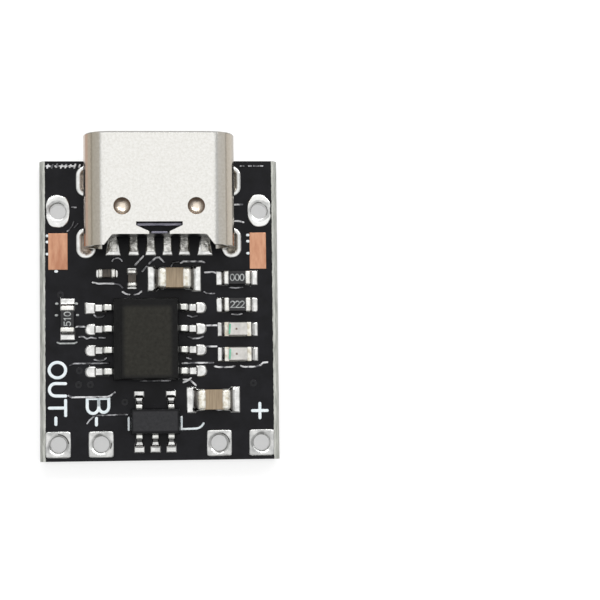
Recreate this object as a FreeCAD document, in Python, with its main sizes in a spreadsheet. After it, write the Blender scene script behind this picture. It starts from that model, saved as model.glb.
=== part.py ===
# Lithium battery charger module: a small circuit board with a USB-C socket, a charger chip,
# a protection chip, chip capacitors and resistors, two LEDs and plated holes for the wires.
# Frame: the origin is the middle of the board's underside, +Y runs towards the socket's mouth
# and +Z up from the component side. All sizes are in millimetres.
import FreeCAD, Part
import math
import os
import Sketcher
from FreeCAD import Placement, Rotation, Vector

# Driving dimensions, each written once
driving = {
    # Board and its scored side edges
    "board_width": "14.3",
    "board_length": "18",
    "board_thickness": "1.2",
    "score_width": "0.2",
    "score_depth": "0.38",
    # Copper, tin and plating
    "land_thickness": "0.05",
    "plating_wall": "0.04",
    # Wire holes in two pairs along the rear edge
    "wire_hole_radius": "0.5",
    "wire_pitch": "2.54",
    "wire_side_distance": "1.09",
    "wire_edge_distance": "1",
    "wire_land_width": "1.5",
    "wire_land_length": "1.58",
    # Input holes beside the socket
    "input_hole_radius": "0.5",
    "input_side_distance": "1.1",
    "input_edge_distance": "3.03",
    "input_land_width": "1.3",
    "input_land_length": "1.93",
    # Plated slots for the legs of the socket
    "slot_inset": "0.1",
    "slot_width": "0.62",
    "slot_length": "1.3",
    "slot_ring": "0.25",
    "front_slot_y": "7.78",
    "rear_slot_y": "4.05",
    # Bare copper lands
    "copper_land_thickness": "0.04",
    "left_copper_side_distance": "1.11",
    "left_copper_width": "1.16",
    "right_copper_side_distance": "1.2",
    "right_copper_width": "1",
    "copper_y": "3.55",
    "copper_length": "2.2",
    # Socket shell: a sheet folded into a flat-sided oval tube
    "shell_width": "8.94",
    "shell_height": "3.2",
    "shell_sheet": "0.3",
    "shell_nose_y": "10.35",
    "shell_rear_y": "3.65",
    "nose_bevel": "0.09",
    "rear_step_y": "4.27",
    "rear_step_half": "2.75",
    "rear_step_run": "0.5",
    "rear_step_rounding": "0.24",
    "notch_front_y": "5",
    "notch_flank_y": "4.78",
    "notch_neck_y": "4.42",
    "notch_half": "1.36",
    "notch_neck_half": "0.6",
    "dimple_offset": "2.17",
    "dimple_y": "5.92",
    "dimple_radius": "0.5",
    "dimple_depth": "0.16",
    "seam_gap": "0.07",
    "lock_x": "0.2",
    "lock_y": "9.28",
    "lock_width": "1.2",
    "lock_length": "0.45",
    "tail_window_half": "3.4",
    "tail_window_y": "4.8",
    "leg_width": "0.8",
    "leg_end_gap": "0.25",
    "leg_tip": "0.2",
    # Socket insulator, tongue and mid plate
    "insulator_rear_y": "4.38",
    "insulator_floor_y": "5.3",
    "tongue_root_y": "6.05",
    "tongue_root_thickness": "1.3",
    "tongue_tip_y": "9.45",
    "tongue_thickness": "0.7",
    "tongue_width": "6.3",
    "plate_width": "6.69",
    "plate_thickness": "0.15",
    "plate_rear_y": "4.95",
    "plate_tip_gap": "0.12",
    "latch_y": "7.3",
    "latch_length": "0.9",
    "latch_depth": "0.4",
    # Socket contacts
    "contact_thickness": "0.15",
    "contact_width": "0.45",
    "contact_tail_y": "3.5",
    "contact_riser_y": "4.55",
    "contact_tip_y": "9.1",
    "inner_contact_x": "0.5",
    "middle_contact_x": "1.52",
    "outer_contact_x": "2.75",
    "contact_land_y": "3.28",
    "contact_land_length": "1.22",
    "signal_land_width": "0.62",
    "ground_land_width": "0.9",
    # Charger chip in an eight-lead package
    "charger_x": "-0.82",
    "charger_y": "-1.78",
    "charger_width": "3.9",
    "charger_length": "4.9",
    "charger_height": "1.45",
    "charger_stand_off": "0.1",
    "charger_bevel": "0.42",
    "charger_span": "6",
    "charger_pitch": "1.27",
    "charger_lead_width": "0.42",
    "charger_lead_thickness": "0.2",
    "charger_lead_shoulder": "0.22",
    "charger_lead_slope": "0.16",
    "charger_lead_bend": "0.08",
    "charger_land_reach": "3.6",
    "charger_land_length": "1.45",
    "charger_land_width": "0.76",
    # Protection chip in a five-lead package
    "protection_x": "-0.3",
    "protection_y": "-6.67",
    "protection_width": "1.55",
    "protection_length": "2.9",
    "protection_height": "1.05",
    "protection_stand_off": "0.08",
    "protection_span": "2.8",
    "protection_pitch": "0.95",
    "protection_lead_width": "0.4",
    "protection_lead_thickness": "0.15",
    "protection_lead_shoulder": "0.12",
    "protection_lead_slope": "0.08",
    "protection_lead_bend": "0.05",
    "protection_land_reach": "1.87",
    "protection_land_length": "0.98",
    "protection_land_width": "0.68",
    # Moulded packages
    "mould_draft": "6",
    "lead_root": "0.35",
    # Large chip capacitors
    "capacitor_length": "1.95",
    "capacitor_width": "1.24",
    "capacitor_height": "1.05",
    "capacitor_cap": "0.44",
    "capacitor_land_reach": "1.6",
    "capacitor_land_width": "1.56",
    "input_capacitor_x": "0.9",
    "input_capacitor_y": "1.88",
    "battery_capacitor_x": "3.18",
    "battery_capacitor_y": "-5.42",
    # Chip resistors
    "resistor_length": "1.58",
    "resistor_width": "0.82",
    "resistor_height": "0.47",
    "resistor_cap": "0.3",
    "resistor_land_reach": "1.25",
    "resistor_land_width": "0.88",
    "link_resistor_x": "4.66",
    "link_resistor_y": "1.9",
    "setting_resistor_x": "4.66",
    "setting_resistor_y": "0.28",
    "supply_resistor_x": "-5.48",
    "supply_resistor_y": "-0.52",
    # Small chip capacitors
    "filter_length": "1.02",
    "filter_width": "0.52",
    "filter_height": "0.5",
    "filter_cap": "0.26",
    "filter_land_reach": "0.66",
    "filter_land_width": "0.6",
    "left_filter_x": "-3.12",
    "left_filter_y": "2.2",
    "right_filter_x": "-1.63",
    "right_filter_y": "1.9",
    # How far a ceramic body lies inside its end caps, and the bevel on their edges
    "ceramic_relief": "0.025",
    "cap_bevel": "0.04",
    # LEDs
    "led_length": "1.6",
    "led_width": "0.84",
    "led_base_height": "0.28",
    "led_terminal": "0.3",
    "led_lens_length": "1.16",
    "led_lens_height": "0.36",
    "led_lens_draft": "8",
    "charge_led_x": "4.68",
    "charge_led_y": "-1.2",
    "standby_led_x": "4.68",
    "standby_led_y": "-2.7",
    # Solder fillets
    "solder_rise_share": "0.6",
    "lead_solder_run": "0.32",
    "tail_solder_run": "0.18",
}

doc = FreeCAD.newDocument("ChargerModule")
sheet = doc.addObject("Spreadsheet::Sheet", "sizes")
for row, (alias, size_text) in enumerate(driving.items(), start=1):
    sheet.set(f"A{row}", alias)
    sheet.set(f"B{row}", size_text)
    sheet.setAlias(f"B{row}", alias)
doc.recompute()

# Levels and edges that follow from the driving dimensions
board_top = "sizes.board_thickness"
land_top = "(sizes.board_thickness + sizes.land_thickness)"
rear_edge = "(-sizes.board_length / 2)"
front_edge = "(sizes.board_length / 2)"
side_edge = "(sizes.board_width / 2)"
wire_offset = f"({side_edge} - sizes.wire_side_distance - sizes.wire_pitch / 2)"
input_offset = f"({side_edge} - sizes.input_side_distance)"
slot_offset = "(sizes.shell_width / 2 - sizes.slot_inset)"
shell_top = "(sizes.board_thickness + sizes.shell_height)"
shell_middle = "(sizes.board_thickness + sizes.shell_height / 2)"

along_axis = 1
up_axis = 2
same_place = 1e-4

sub_parts = []
component_lands = []
solder_joints = []


def number(expression):
    return float(sheet.evalExpression(expression))


def keep(item, label):
    # A kept item is a sub-part with a name of its own
    item.Label = label
    sub_parts.append(item)
    return item


def bind(item, **expressions):
    for name, expression in expressions.items():
        item.setExpression(name, expression)


def place(item, across, along, up, turn=0):
    item.Placement = Placement(Vector(), Rotation(Vector(0, 0, 1), turn))
    item.setExpression("Placement.Base.x", across)
    item.setExpression("Placement.Base.y", along)
    item.setExpression("Placement.Base.z", up)


def block(name, across, along, bottom, width, length, height):
    # A plain box, centred on a point seen from above
    item = doc.addObject("Part::Box", name)
    bind(item, Length=width, Width=length, Height=height)
    place(item, f"{across} - ({width}) / 2", f"{along} - ({length}) / 2", bottom)
    return item


def post(name, across, along, bottom, radius, height):
    item = doc.addObject("Part::Cylinder", name)
    bind(item, Radius=radius, Height=height)
    place(item, across, along, bottom)
    return item


def fuse(name, pieces):
    item = doc.addObject("Part::MultiFuse", name)
    item.Shapes = pieces
    item.Refine = True
    return item


def cut(name, base, tool):
    item = doc.addObject("Part::Cut", name)
    item.Base = base
    item.Tool = tool
    return item


def group(name, pieces):
    item = doc.addObject("Part::Compound", name)
    item.Links = pieces
    return item


def new_body(name):
    return doc.addObject("PartDesign::Body", name)


def new_sketch(body, role, offset):
    sketch = body.newObject("Sketcher::SketchObject", body.Name + "_sketch")
    plane = next(item for item in body.Origin.OriginFeatures if item.Role == role)
    sketch.AttachmentSupport = [(plane, "")]
    sketch.MapMode = "FlatFace"
    sketch.setExpression("AttachmentOffset.Base.z", offset)
    return sketch


def hold(sketch, kind, *arguments):
    # A constraint whose last argument is an expression
    *references, expression = arguments
    constraint = Sketcher.Constraint(kind, *references, number(expression))
    index = sketch.addConstraint(constraint)
    sketch.setExpression(f"Constraints[{index}]", expression)


def hold_point(sketch, geometry, position, across, along):
    hold(sketch, "DistanceX", -1, 1, geometry, position, across)
    hold(sketch, "DistanceY", -1, 1, geometry, position, along)


def corner_sketch(body, role, corners, offset="0"):
    # A closed outline of straight sides through the corners
    sketch = new_sketch(body, role, offset)
    points = [Vector(number(across), number(along), 0) for across, along in corners]
    last = len(points) - 1
    for index, point in enumerate(points):
        following = points[0] if index == last else points[index + 1]
        sketch.addGeometry(Part.LineSegment(point, following), False)
    for index in range(len(points)):
        following = 0 if index == last else index + 1
        sketch.addConstraint(Sketcher.Constraint("Coincident", index, 2, following, 1))
    for index, (across, along) in enumerate(corners):
        hold_point(sketch, index, 1, across, along)
    return sketch


def rectangle_sketch(body, role, left, right, low, high, offset="0"):
    corners = [(left, low), (right, low), (right, high), (left, high)]
    return corner_sketch(body, role, corners, offset)


def oval_sketch(body, role, across, along, width, length, offset="0"):
    # Two half circles joined by straight sides, lying or standing
    sketch = new_sketch(body, role, offset)
    lying = number(width) >= number(length)
    short, long_side = (length, width) if lying else (width, length)
    radius = f"({short}) / 2"
    shift = f"(({long_side}) - ({short})) / 2"
    if lying:
        centres = [(f"{across} + {shift}", along), (f"{across} - {shift}", along)]
        start = -math.pi / 2
    else:
        centres = [(across, f"{along} + {shift}"), (across, f"{along} - {shift}")]
        start = 0
    arcs = []
    for count, (centre_across, centre_along) in enumerate(centres):
        centre = Vector(number(centre_across), number(centre_along), 0)
        circle = Part.Circle(centre, Vector(0, 0, 1), number(radius))
        first = start + count * math.pi
        arcs.append(Part.ArcOfCircle(circle, first, first + math.pi))
    sketch.addGeometry(arcs[0], False)
    sketch.addGeometry(Part.LineSegment(arcs[0].EndPoint, arcs[1].StartPoint), False)
    sketch.addGeometry(arcs[1], False)
    sketch.addGeometry(Part.LineSegment(arcs[1].EndPoint, arcs[0].StartPoint), False)
    for index in range(4):
        following = (index + 1) % 4
        sketch.addConstraint(Sketcher.Constraint("Tangent", index, 2, following, 1))
    sketch.addConstraint(Sketcher.Constraint("Equal", 0, 2))
    hold(sketch, "Radius", 0, radius)
    hold_point(sketch, 0, 3, *centres[0])
    hold_point(sketch, 2, 3, *centres[1])
    return sketch


def pad(body, sketch, length, symmetric=False, backwards=False, draft=None):
    item = body.newObject("PartDesign::Pad", body.Name + "_pad")
    item.Profile = sketch
    item.setExpression("Length", length)
    item.SideType = "Symmetric" if symmetric else "One side"
    item.Reversed = backwards
    if draft:
        item.setExpression("TaperAngle", f"-{draft}")
    return item


def pocket(body, sketch, depth, backwards=False):
    # The cut must take material away, or it points the wrong way
    doc.recompute()
    before = body.Shape.Volume
    item = body.newObject("PartDesign::Pocket", body.Name + "_pocket")
    item.Profile = sketch
    item.setExpression("Length", depth)
    item.Reversed = backwards
    doc.recompute()
    if body.Shape.Volume >= before:
        raise ValueError(f"{item.Label} of {body.Label} cuts nothing")
    return item


def edges_along(shape, axis, spots):
    # Names of the straight edges that run along an axis through the given spots
    others = [index for index in range(3) if index != axis]
    names = []
    for count, edge in enumerate(shape.Edges, start=1):
        first = edge.Vertexes[0].Point
        last = edge.Vertexes[-1].Point
        straight = all(abs(last[index] - first[index]) < same_place for index in others)
        if not straight or len(edge.Vertexes) < 2:
            continue
        for spot in spots:
            gaps = [abs(first[index] - value) for index, value in zip(others, spot)]
            if max(gaps) < same_place:
                names.append(f"Edge{count}")
    return names


def edges_at(shape, axis, level):
    # Names of the edges that lie wholly in a plane across an axis
    names = []
    for count, edge in enumerate(shape.Edges, start=1):
        points = [vertex.Point for vertex in edge.Vertexes] + [edge.CenterOfMass]
        if all(abs(point[axis] - level) < same_place for point in points):
            names.append(f"Edge{count}")
    return names


def round_edges(body, feature, names, radius):
    item = body.newObject("PartDesign::Fillet", body.Name + "_fillet")
    item.Base = (feature, names)
    item.setExpression("Radius", radius)
    return item


def bevel_edges(body, feature, names, size):
    item = body.newObject("PartDesign::Chamfer", body.Name + "_chamfer")
    item.Base = (feature, names)
    item.setExpression("Size", size)
    return item


def spot_on(across, along, turn, out, side):
    # The place of a component's own point, for a component turned by quarter turns
    offsets = {
        0: (f"{out}", f"{side}"),
        90: (f"-({side})", f"{out}"),
        180: (f"-({out})", f"-({side})"),
        270: (f"{side}", f"-({out})"),
    }
    shift_across, shift_along = offsets[turn % 360]
    return f"({across} + {shift_across})", f"({along} + {shift_along})"


def turned(turn, length, width):
    return (length, width) if turn % 180 == 0 else (width, length)


def bevelled_block(name, across, along, bottom, width, length, height, bevel):
    body = new_body(name)
    base = body.newObject("PartDesign::AdditiveBox", name + "_base")
    bind(base, Length=width, Width=length, Height=height)
    place(base, f"-({width}) / 2", f"-({length}) / 2", "0")
    doc.recompute()
    names = [f"Edge{count}" for count in range(1, len(base.Shape.Edges) + 1)]
    bevel_edges(body, base, names, bevel)
    place(body, across, along, bottom)
    return body


def oval_prism(name, across, along, bottom, width, length, height):
    body = new_body(name)
    sketch = oval_sketch(body, "XY_Plane", "0", "0", width, length)
    pad(body, sketch, height)
    place(body, across, along, bottom)
    return body


def add_land(name, across, along, width, length):
    component_lands.append(block(name, across, along, board_top, width, length, "sizes.land_thickness"))


def add_solder(name, across, along, turn, run, rise, width):
    # A fillet with a hollow face, level with the land at its toe
    body = new_body(name)
    sketch = new_sketch(body, "XZ_Plane", "0")
    radius = f"(({run}) * ({run}) + ({rise}) * ({rise})) / (2 * ({rise}))"
    toe = Vector(number(run), 0, 0)
    heel = Vector(0, 0, 0)
    crest = Vector(0, number(rise), 0)
    middle = Vector(number(run), number(radius), 0)
    below = middle - crest
    start = math.pi + math.atan2(below.y, below.x)
    circle = Part.Circle(middle, Vector(0, 0, 1), number(radius))
    sketch.addGeometry(Part.LineSegment(heel, toe), False)
    sketch.addGeometry(Part.ArcOfCircle(circle, start, 1.5 * math.pi), False)
    sketch.addGeometry(Part.LineSegment(crest, heel), False)
    sketch.addConstraint(Sketcher.Constraint("Coincident", 0, 2, 1, 2))
    sketch.addConstraint(Sketcher.Constraint("Coincident", 1, 1, 2, 1))
    sketch.addConstraint(Sketcher.Constraint("Coincident", 2, 2, 0, 1))
    hold_point(sketch, 0, 1, "0", "0")
    hold_point(sketch, 0, 2, run, "0")
    hold_point(sketch, 2, 1, "0", rise)
    hold(sketch, "Radius", 1, radius)
    pad(body, sketch, width, symmetric=True)
    place(body, across, along, land_top, turn)
    solder_joints.append(body)


def plated_eyelet(label, across, along, oval, land_width, land_length, hole):
    # A land on each face joined by a plated barrel: the lower land lies flush in the board
    shape = oval_prism if oval else block
    full = f"{board_top} + sizes.land_thickness"
    lower = shape(label + "_lower", across, along, "0", land_width, land_length, "sizes.land_thickness")
    upper = shape(label + "_upper", across, along, board_top, land_width, land_length,
                  "sizes.land_thickness")
    if isinstance(hole, tuple):
        width, length = hole
        wall = "2 * sizes.plating_wall"
        barrel = oval_prism(label + "_barrel", across, along, "0", f"{width} + {wall}",
                            f"{length} + {wall}", full)
        bore = oval_prism(label + "_bore", across, along, "0", width, length, full)
    else:
        barrel = post(label + "_barrel", across, along, "0", f"{hole} + sizes.plating_wall", full)
        bore = post(label + "_bore", across, along, "0", hole, full)
    blank = fuse(label + "_blank", [lower, upper, barrel])
    keep(cut(label + "_cut", blank, bore), label)
    return blank


def make_terminals():
    seats = []
    wire_y = f"({rear_edge} + sizes.wire_edge_distance)"
    half_pitch = "sizes.wire_pitch / 2"
    wires = [
        ("output_negative_terminal", f"(-{wire_offset} - {half_pitch})"),
        ("battery_negative_terminal", f"(-{wire_offset} + {half_pitch})"),
        ("battery_positive_terminal", f"({wire_offset} - {half_pitch})"),
        ("output_positive_terminal", f"({wire_offset} + {half_pitch})"),
    ]
    for label, across in wires:
        seats.append(plated_eyelet(label, across, wire_y, False, "sizes.wire_land_width",
                                   "sizes.wire_land_length", "sizes.wire_hole_radius"))
    input_y = f"({front_edge} - sizes.input_edge_distance)"
    inputs = [
        ("input_left_terminal", f"(-{input_offset})"),
        ("input_right_terminal", input_offset),
    ]
    for label, across in inputs:
        seats.append(plated_eyelet(label, across, input_y, True, "sizes.input_land_width",
                                   "sizes.input_land_length", "sizes.input_hole_radius"))
    ring_width = "(sizes.slot_width + 2 * sizes.slot_ring)"
    ring_length = "(sizes.slot_length + 2 * sizes.slot_ring)"
    for row, along in [("front", "sizes.front_slot_y"), ("rear", "sizes.rear_slot_y")]:
        for side, across in [("left", f"(-{slot_offset})"), ("right", slot_offset)]:
            seats.append(plated_eyelet(f"{row}_{side}_leg_slot", across, along, True, ring_width,
                                       ring_length, ("sizes.slot_width", "sizes.slot_length")))
    return seats


def make_board(seats):
    # The section is a plate whose two side edges are scored from both faces, run along the board
    body = new_body("board_blank")
    inner = f"({side_edge} - sizes.score_width)"
    low = "sizes.score_depth"
    high = "(sizes.board_thickness - sizes.score_depth)"
    corners = [
        (f"-{inner}", "0"), (inner, "0"), (side_edge, low), (side_edge, high),
        (inner, board_top), (f"-{inner}", board_top), (f"-{side_edge}", high),
        (f"-{side_edge}", low),
    ]
    sketch = corner_sketch(body, "XZ_Plane", corners)
    pad(body, sketch, "sizes.board_length", symmetric=True)
    keep(cut("board_cut", body, fuse("board_seats", seats)), "printed_circuit_board")


def make_copper_lands():
    for side, sign in (("left", "-"), ("right", "")):
        across = f"{sign}({side_edge} - sizes.{side}_copper_side_distance)"
        land = block(f"{side}_copper", across, "sizes.copper_y", board_top,
                     f"sizes.{side}_copper_width", "sizes.copper_length", "sizes.copper_land_thickness")
        keep(land, f"{side}_copper_land")


def make_shell():
    body = new_body("usb_shell_body")
    nose = "-sizes.shell_nose_y"
    run = "sizes.shell_nose_y - sizes.shell_rear_y"
    wall = "2 * sizes.shell_sheet"
    outer = oval_sketch(body, "XZ_Plane", "0", shell_middle, "sizes.shell_width",
                        "sizes.shell_height", nose)
    pad(body, outer, run)
    inner = oval_sketch(body, "XZ_Plane", "0", shell_middle, f"sizes.shell_width - {wall}",
                        f"sizes.shell_height - {wall}", nose)
    tube = pocket(body, inner, run, backwards=True)
    mouth = edges_at(tube.Shape, along_axis, number("sizes.shell_nose_y"))
    bevel_edges(body, tube, mouth, "sizes.nose_bevel")
    doc.recompute()

    # Four legs run down from the side walls into the plated slots
    half_leg = "sizes.leg_width / 2"
    tip = "sizes.leg_end_gap"
    for along in ("sizes.front_slot_y", "sizes.rear_slot_y"):
        for start in ("-sizes.shell_width / 2", "sizes.shell_width / 2 - sizes.shell_sheet"):
            corners = [
                (f"{along} - {half_leg} + sizes.leg_tip", tip),
                (f"{along} + {half_leg} - sizes.leg_tip", tip),
                (f"{along} + {half_leg}", f"{tip} + sizes.leg_tip"),
                (f"{along} + {half_leg}", shell_middle),
                (f"{along} - {half_leg}", shell_middle),
                (f"{along} - {half_leg}", f"{tip} + sizes.leg_tip"),
            ]
            pad(body, corner_sketch(body, "YZ_Plane", corners, start), "sizes.shell_sheet")

    # The rear edge of the top steps forward between two rounded shoulders
    through = "1.5 * sizes.shell_sheet"
    beyond = "(sizes.shell_rear_y - sizes.shell_sheet)"
    outer_half = "(sizes.rear_step_half + sizes.rear_step_run)"
    step = [
        (f"-{outer_half}", beyond), (outer_half, beyond), (outer_half, "sizes.shell_rear_y"),
        ("sizes.rear_step_half", "sizes.rear_step_y"), ("-sizes.rear_step_half", "sizes.rear_step_y"),
        (f"-{outer_half}", "sizes.shell_rear_y"),
    ]
    stepped = pocket(body, corner_sketch(body, "XY_Plane", step, shell_top), through)
    shoulders = [
        (number(side + "sizes.rear_step_half"), number("sizes.rear_step_y")) for side in ("-", "")
    ]
    round_edges(body, stepped, edges_along(stepped.Shape, up_axis, shoulders),
                "sizes.rear_step_rounding")
    doc.recompute()

    # A flared notch in the top shows the insulator
    notch_end = "(sizes.rear_step_y - sizes.shell_sheet)"
    notch = [
        ("-sizes.notch_neck_half", notch_end), ("sizes.notch_neck_half", notch_end),
        ("sizes.notch_neck_half", "sizes.notch_neck_y"), ("sizes.notch_half", "sizes.notch_flank_y"),
        ("sizes.notch_half", "sizes.notch_front_y"), ("-sizes.notch_half", "sizes.notch_front_y"),
        ("-sizes.notch_half", "sizes.notch_flank_y"), ("-sizes.notch_neck_half", "sizes.notch_neck_y"),
    ]
    pocket(body, corner_sketch(body, "XY_Plane", notch, shell_top), through)

    # The bottom is open over the contact tails, and its fold meets at a seam with a lock hole
    window = rectangle_sketch(body, "XY_Plane", "-sizes.tail_window_half", "sizes.tail_window_half",
                              beyond, "sizes.tail_window_y", board_top)
    pocket(body, window, through, backwards=True)
    seam = rectangle_sketch(body, "XY_Plane", "-sizes.seam_gap / 2", "sizes.seam_gap / 2",
                            beyond, "sizes.shell_nose_y + sizes.shell_sheet", board_top)
    pocket(body, seam, through, backwards=True)
    lock = oval_sketch(body, "XY_Plane", "sizes.lock_x", "sizes.lock_y", "sizes.lock_width",
                       "sizes.lock_length", board_top)
    pocket(body, lock, through, backwards=True)

    # Two round dimples are pressed into the top
    ball = ("(sizes.dimple_radius * sizes.dimple_radius + sizes.dimple_depth * sizes.dimple_depth)"
            " / (2 * sizes.dimple_depth)")
    for side in ("-", ""):
        dimple = body.newObject("PartDesign::SubtractiveSphere", "usb_shell_dimple")
        bind(dimple, Radius=ball)
        place(dimple, f"{side}sizes.dimple_offset", "sizes.dimple_y",
              f"{shell_top} + {ball} - sizes.dimple_depth")
    keep(body, "usb_shell")


def contact_outline(blade):
    thick = "sizes.contact_thickness"
    riser = "sizes.contact_riser_y"
    return [
        ("sizes.contact_tail_y", land_top),
        (f"{riser} + {thick}", land_top),
        (f"{riser} + {thick}", blade),
        ("sizes.contact_tip_y", blade),
        ("sizes.contact_tip_y", f"{blade} + {thick}"),
        (riser, f"{blade} + {thick}"),
        (riser, f"{land_top} + {thick}"),
        ("sizes.contact_tail_y", f"{land_top} + {thick}"),
    ]


def make_contacts():
    # Three contacts lie in the tongue's upper face and three in its lower face
    upper_blade = f"({shell_middle} + sizes.tongue_thickness / 2 - sizes.contact_thickness)"
    lower_blade = f"({shell_middle} - sizes.tongue_thickness / 2)"
    row = [
        ("usb_left_ground_contact", "(-sizes.outer_contact_x)", upper_blade, "ground"),
        ("usb_left_power_contact", "(-sizes.middle_contact_x)", upper_blade, "signal"),
        ("usb_left_signal_contact", "(-sizes.inner_contact_x)", upper_blade, "signal"),
        ("usb_right_signal_contact", "sizes.inner_contact_x", lower_blade, "signal"),
        ("usb_right_power_contact", "sizes.middle_contact_x", lower_blade, "signal"),
        ("usb_right_ground_contact", "sizes.outer_contact_x", lower_blade, "ground"),
    ]
    contacts = []
    for label, across, blade, land in row:
        body = new_body(label + "_body")
        sketch = corner_sketch(body, "YZ_Plane", contact_outline(blade))
        pad(body, sketch, "sizes.contact_width", symmetric=True)
        place(body, across, "0", "0")
        contacts.append(keep(body, label))
        land_middle = "(sizes.contact_land_y + sizes.contact_land_length / 2)"
        add_land(label + "_land", across, land_middle, f"sizes.{land}_land_width",
                 "sizes.contact_land_length")
        add_solder(label + "_solder", across, "sizes.contact_tail_y", 270, "sizes.tail_solder_run",
                   "sizes.contact_thickness", "sizes.contact_width")
    return contacts


def make_tongue_plate():
    # The steel plate inside the tongue has a latch notch in each side
    body = new_body("tongue_plate_body")
    half = "sizes.plate_width / 2"
    bay = "(sizes.plate_width / 2 - sizes.latch_depth)"
    rear = "sizes.plate_rear_y"
    tip = "(sizes.tongue_tip_y - sizes.plate_tip_gap)"
    low = "sizes.latch_y"
    high = "(sizes.latch_y + sizes.latch_length)"
    corners = [
        (f"-{half}", rear), (half, rear), (half, low), (bay, low), (bay, high), (half, high),
        (half, tip), (f"-{half}", tip), (f"-{half}", high), (f"-{bay}", high), (f"-{bay}", low),
        (f"-{half}", low),
    ]
    pad(body, corner_sketch(body, "XY_Plane", corners, shell_middle), "sizes.plate_thickness",
        symmetric=True)
    return keep(body, "usb_tongue_plate")


def make_insulator(embedded):
    # A block that fills the rear of the tube, a stepped root and the tongue
    body = new_body("insulator_blank")
    wall = "2 * sizes.shell_sheet"
    section = oval_sketch(body, "XZ_Plane", "0", shell_middle, f"sizes.shell_width - {wall}",
                          f"sizes.shell_height - {wall}", "-sizes.insulator_floor_y")
    pad(body, section, "sizes.insulator_floor_y - sizes.insulator_rear_y")
    half = "sizes.tongue_width / 2"
    for front, thickness in [("tongue_root_y", "tongue_root_thickness"),
                             ("tongue_tip_y", "tongue_thickness")]:
        tongue = rectangle_sketch(body, "XZ_Plane", f"-{half}", half,
                                  f"{shell_middle} - sizes.{thickness} / 2",
                                  f"{shell_middle} + sizes.{thickness} / 2", f"-sizes.{front}")
        pad(body, tongue, f"sizes.{front} - sizes.insulator_floor_y")
    keep(cut("insulator_cut", body, fuse("insulator_seats", embedded)), "usb_insulator")


def gull_lead(label, chip, across, along, turn):
    # A flat lead leaves the package, bends down and ends in a foot on its land
    body = new_body(label + "_body")
    thick = f"sizes.{chip}_lead_thickness"
    level = f"(sizes.{chip}_stand_off + sizes.{chip}_height / 2)"
    top = f"({level} + {thick} / 2)"
    underside = f"({level} - {thick} / 2)"
    side = f"sizes.{chip}_width / 2"
    root = f"({side} - sizes.lead_root)"
    end = f"sizes.{chip}_span / 2"
    knee = f"({side} + sizes.{chip}_lead_shoulder)"
    ankle = f"({knee} + sizes.{chip}_lead_slope)"
    corners = [
        (root, underside), (knee, underside), (ankle, "0"), (end, "0"), (end, thick),
        (f"{ankle} + {thick}", thick), (f"{knee} + {thick}", top), (root, top),
    ]
    bar = pad(body, corner_sketch(body, "XZ_Plane", corners), f"sizes.{chip}_lead_width",
              symmetric=True)
    doc.recompute()
    bends = [(number(corners[index][0]), number(corners[index][1])) for index in (1, 2, 5, 6)]
    names = edges_along(bar.Shape, along_axis, bends)
    bevel_edges(body, bar, names, f"sizes.{chip}_lead_bend")
    place(body, across, along, land_top, turn)
    return keep(body, label)


def moulded_package(chip, turn):
    # Both halves narrow away from the line where the mould parts
    body = new_body(f"{chip}_blank")
    half_width = f"sizes.{chip}_width / 2"
    half_length = f"sizes.{chip}_length / 2"
    parting = f"(sizes.{chip}_stand_off + sizes.{chip}_height / 2)"
    for backwards in (False, True):
        section = rectangle_sketch(body, "XY_Plane", f"-{half_width}", half_width,
                                   f"-{half_length}", half_length, parting)
        last = pad(body, section, f"sizes.{chip}_height / 2", backwards=backwards,
                   draft="sizes.mould_draft")
    place(body, f"sizes.{chip}_x", f"sizes.{chip}_y", land_top, turn)
    doc.recompute()
    return body, last


def chip_leads(chip, pins):
    # Pins are given as a place in pitches along the package and a turn
    across = f"sizes.{chip}_x"
    along = f"sizes.{chip}_y"
    leads = []
    for count, (step, turn) in enumerate(pins, start=1):
        shift = f"{step} * sizes.{chip}_pitch"
        lead_across, lead_along = spot_on(across, along, turn, "0", shift)
        leads.append(gull_lead(f"{chip}_lead_{count}", chip, lead_across, lead_along, turn))
        land_middle = f"(sizes.{chip}_land_reach - sizes.{chip}_land_length / 2)"
        land_across, land_along = spot_on(across, along, turn, land_middle, shift)
        width, length = turned(turn, f"sizes.{chip}_land_length", f"sizes.{chip}_land_width")
        add_land(f"{chip}_land_{count}", land_across, land_along, width, length)
        end_across, end_along = spot_on(across, along, turn, f"sizes.{chip}_span / 2", shift)
        add_solder(f"{chip}_solder_{count}", end_across, end_along, turn, "sizes.lead_solder_run",
                   f"sizes.{chip}_lead_thickness", f"sizes.{chip}_lead_width")
    return leads


def make_charger_chip():
    pins = [(-1.5, 180), (-0.5, 180), (0.5, 180), (1.5, 180), (-1.5, 0), (-0.5, 0), (0.5, 0), (1.5, 0)]
    leads = chip_leads("charger", pins)
    body, last = moulded_package("charger", 0)
    # A bevel runs along the side of the first pin
    top = number("sizes.charger_stand_off + sizes.charger_height")
    lean = "tan(sizes.mould_draft * 1deg) * sizes.charger_height / 2"
    left = number(f"-(sizes.charger_width / 2 - {lean})")
    names = edges_along(last.Shape, along_axis, [(left, top)])
    bevel_edges(body, last, names, "sizes.charger_bevel")
    keep(cut("charger_cut", body, fuse("charger_seats", leads)), "charger_chip_body")


def make_protection_chip():
    pins = [(1, 270), (0, 270), (-1, 270), (1, 90), (-1, 90)]
    leads = chip_leads("protection", pins)
    body, _ = moulded_package("protection", 90)
    keep(cut("protection_cut", body, fuse("protection_seats", leads)), "protection_chip_body")


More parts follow.
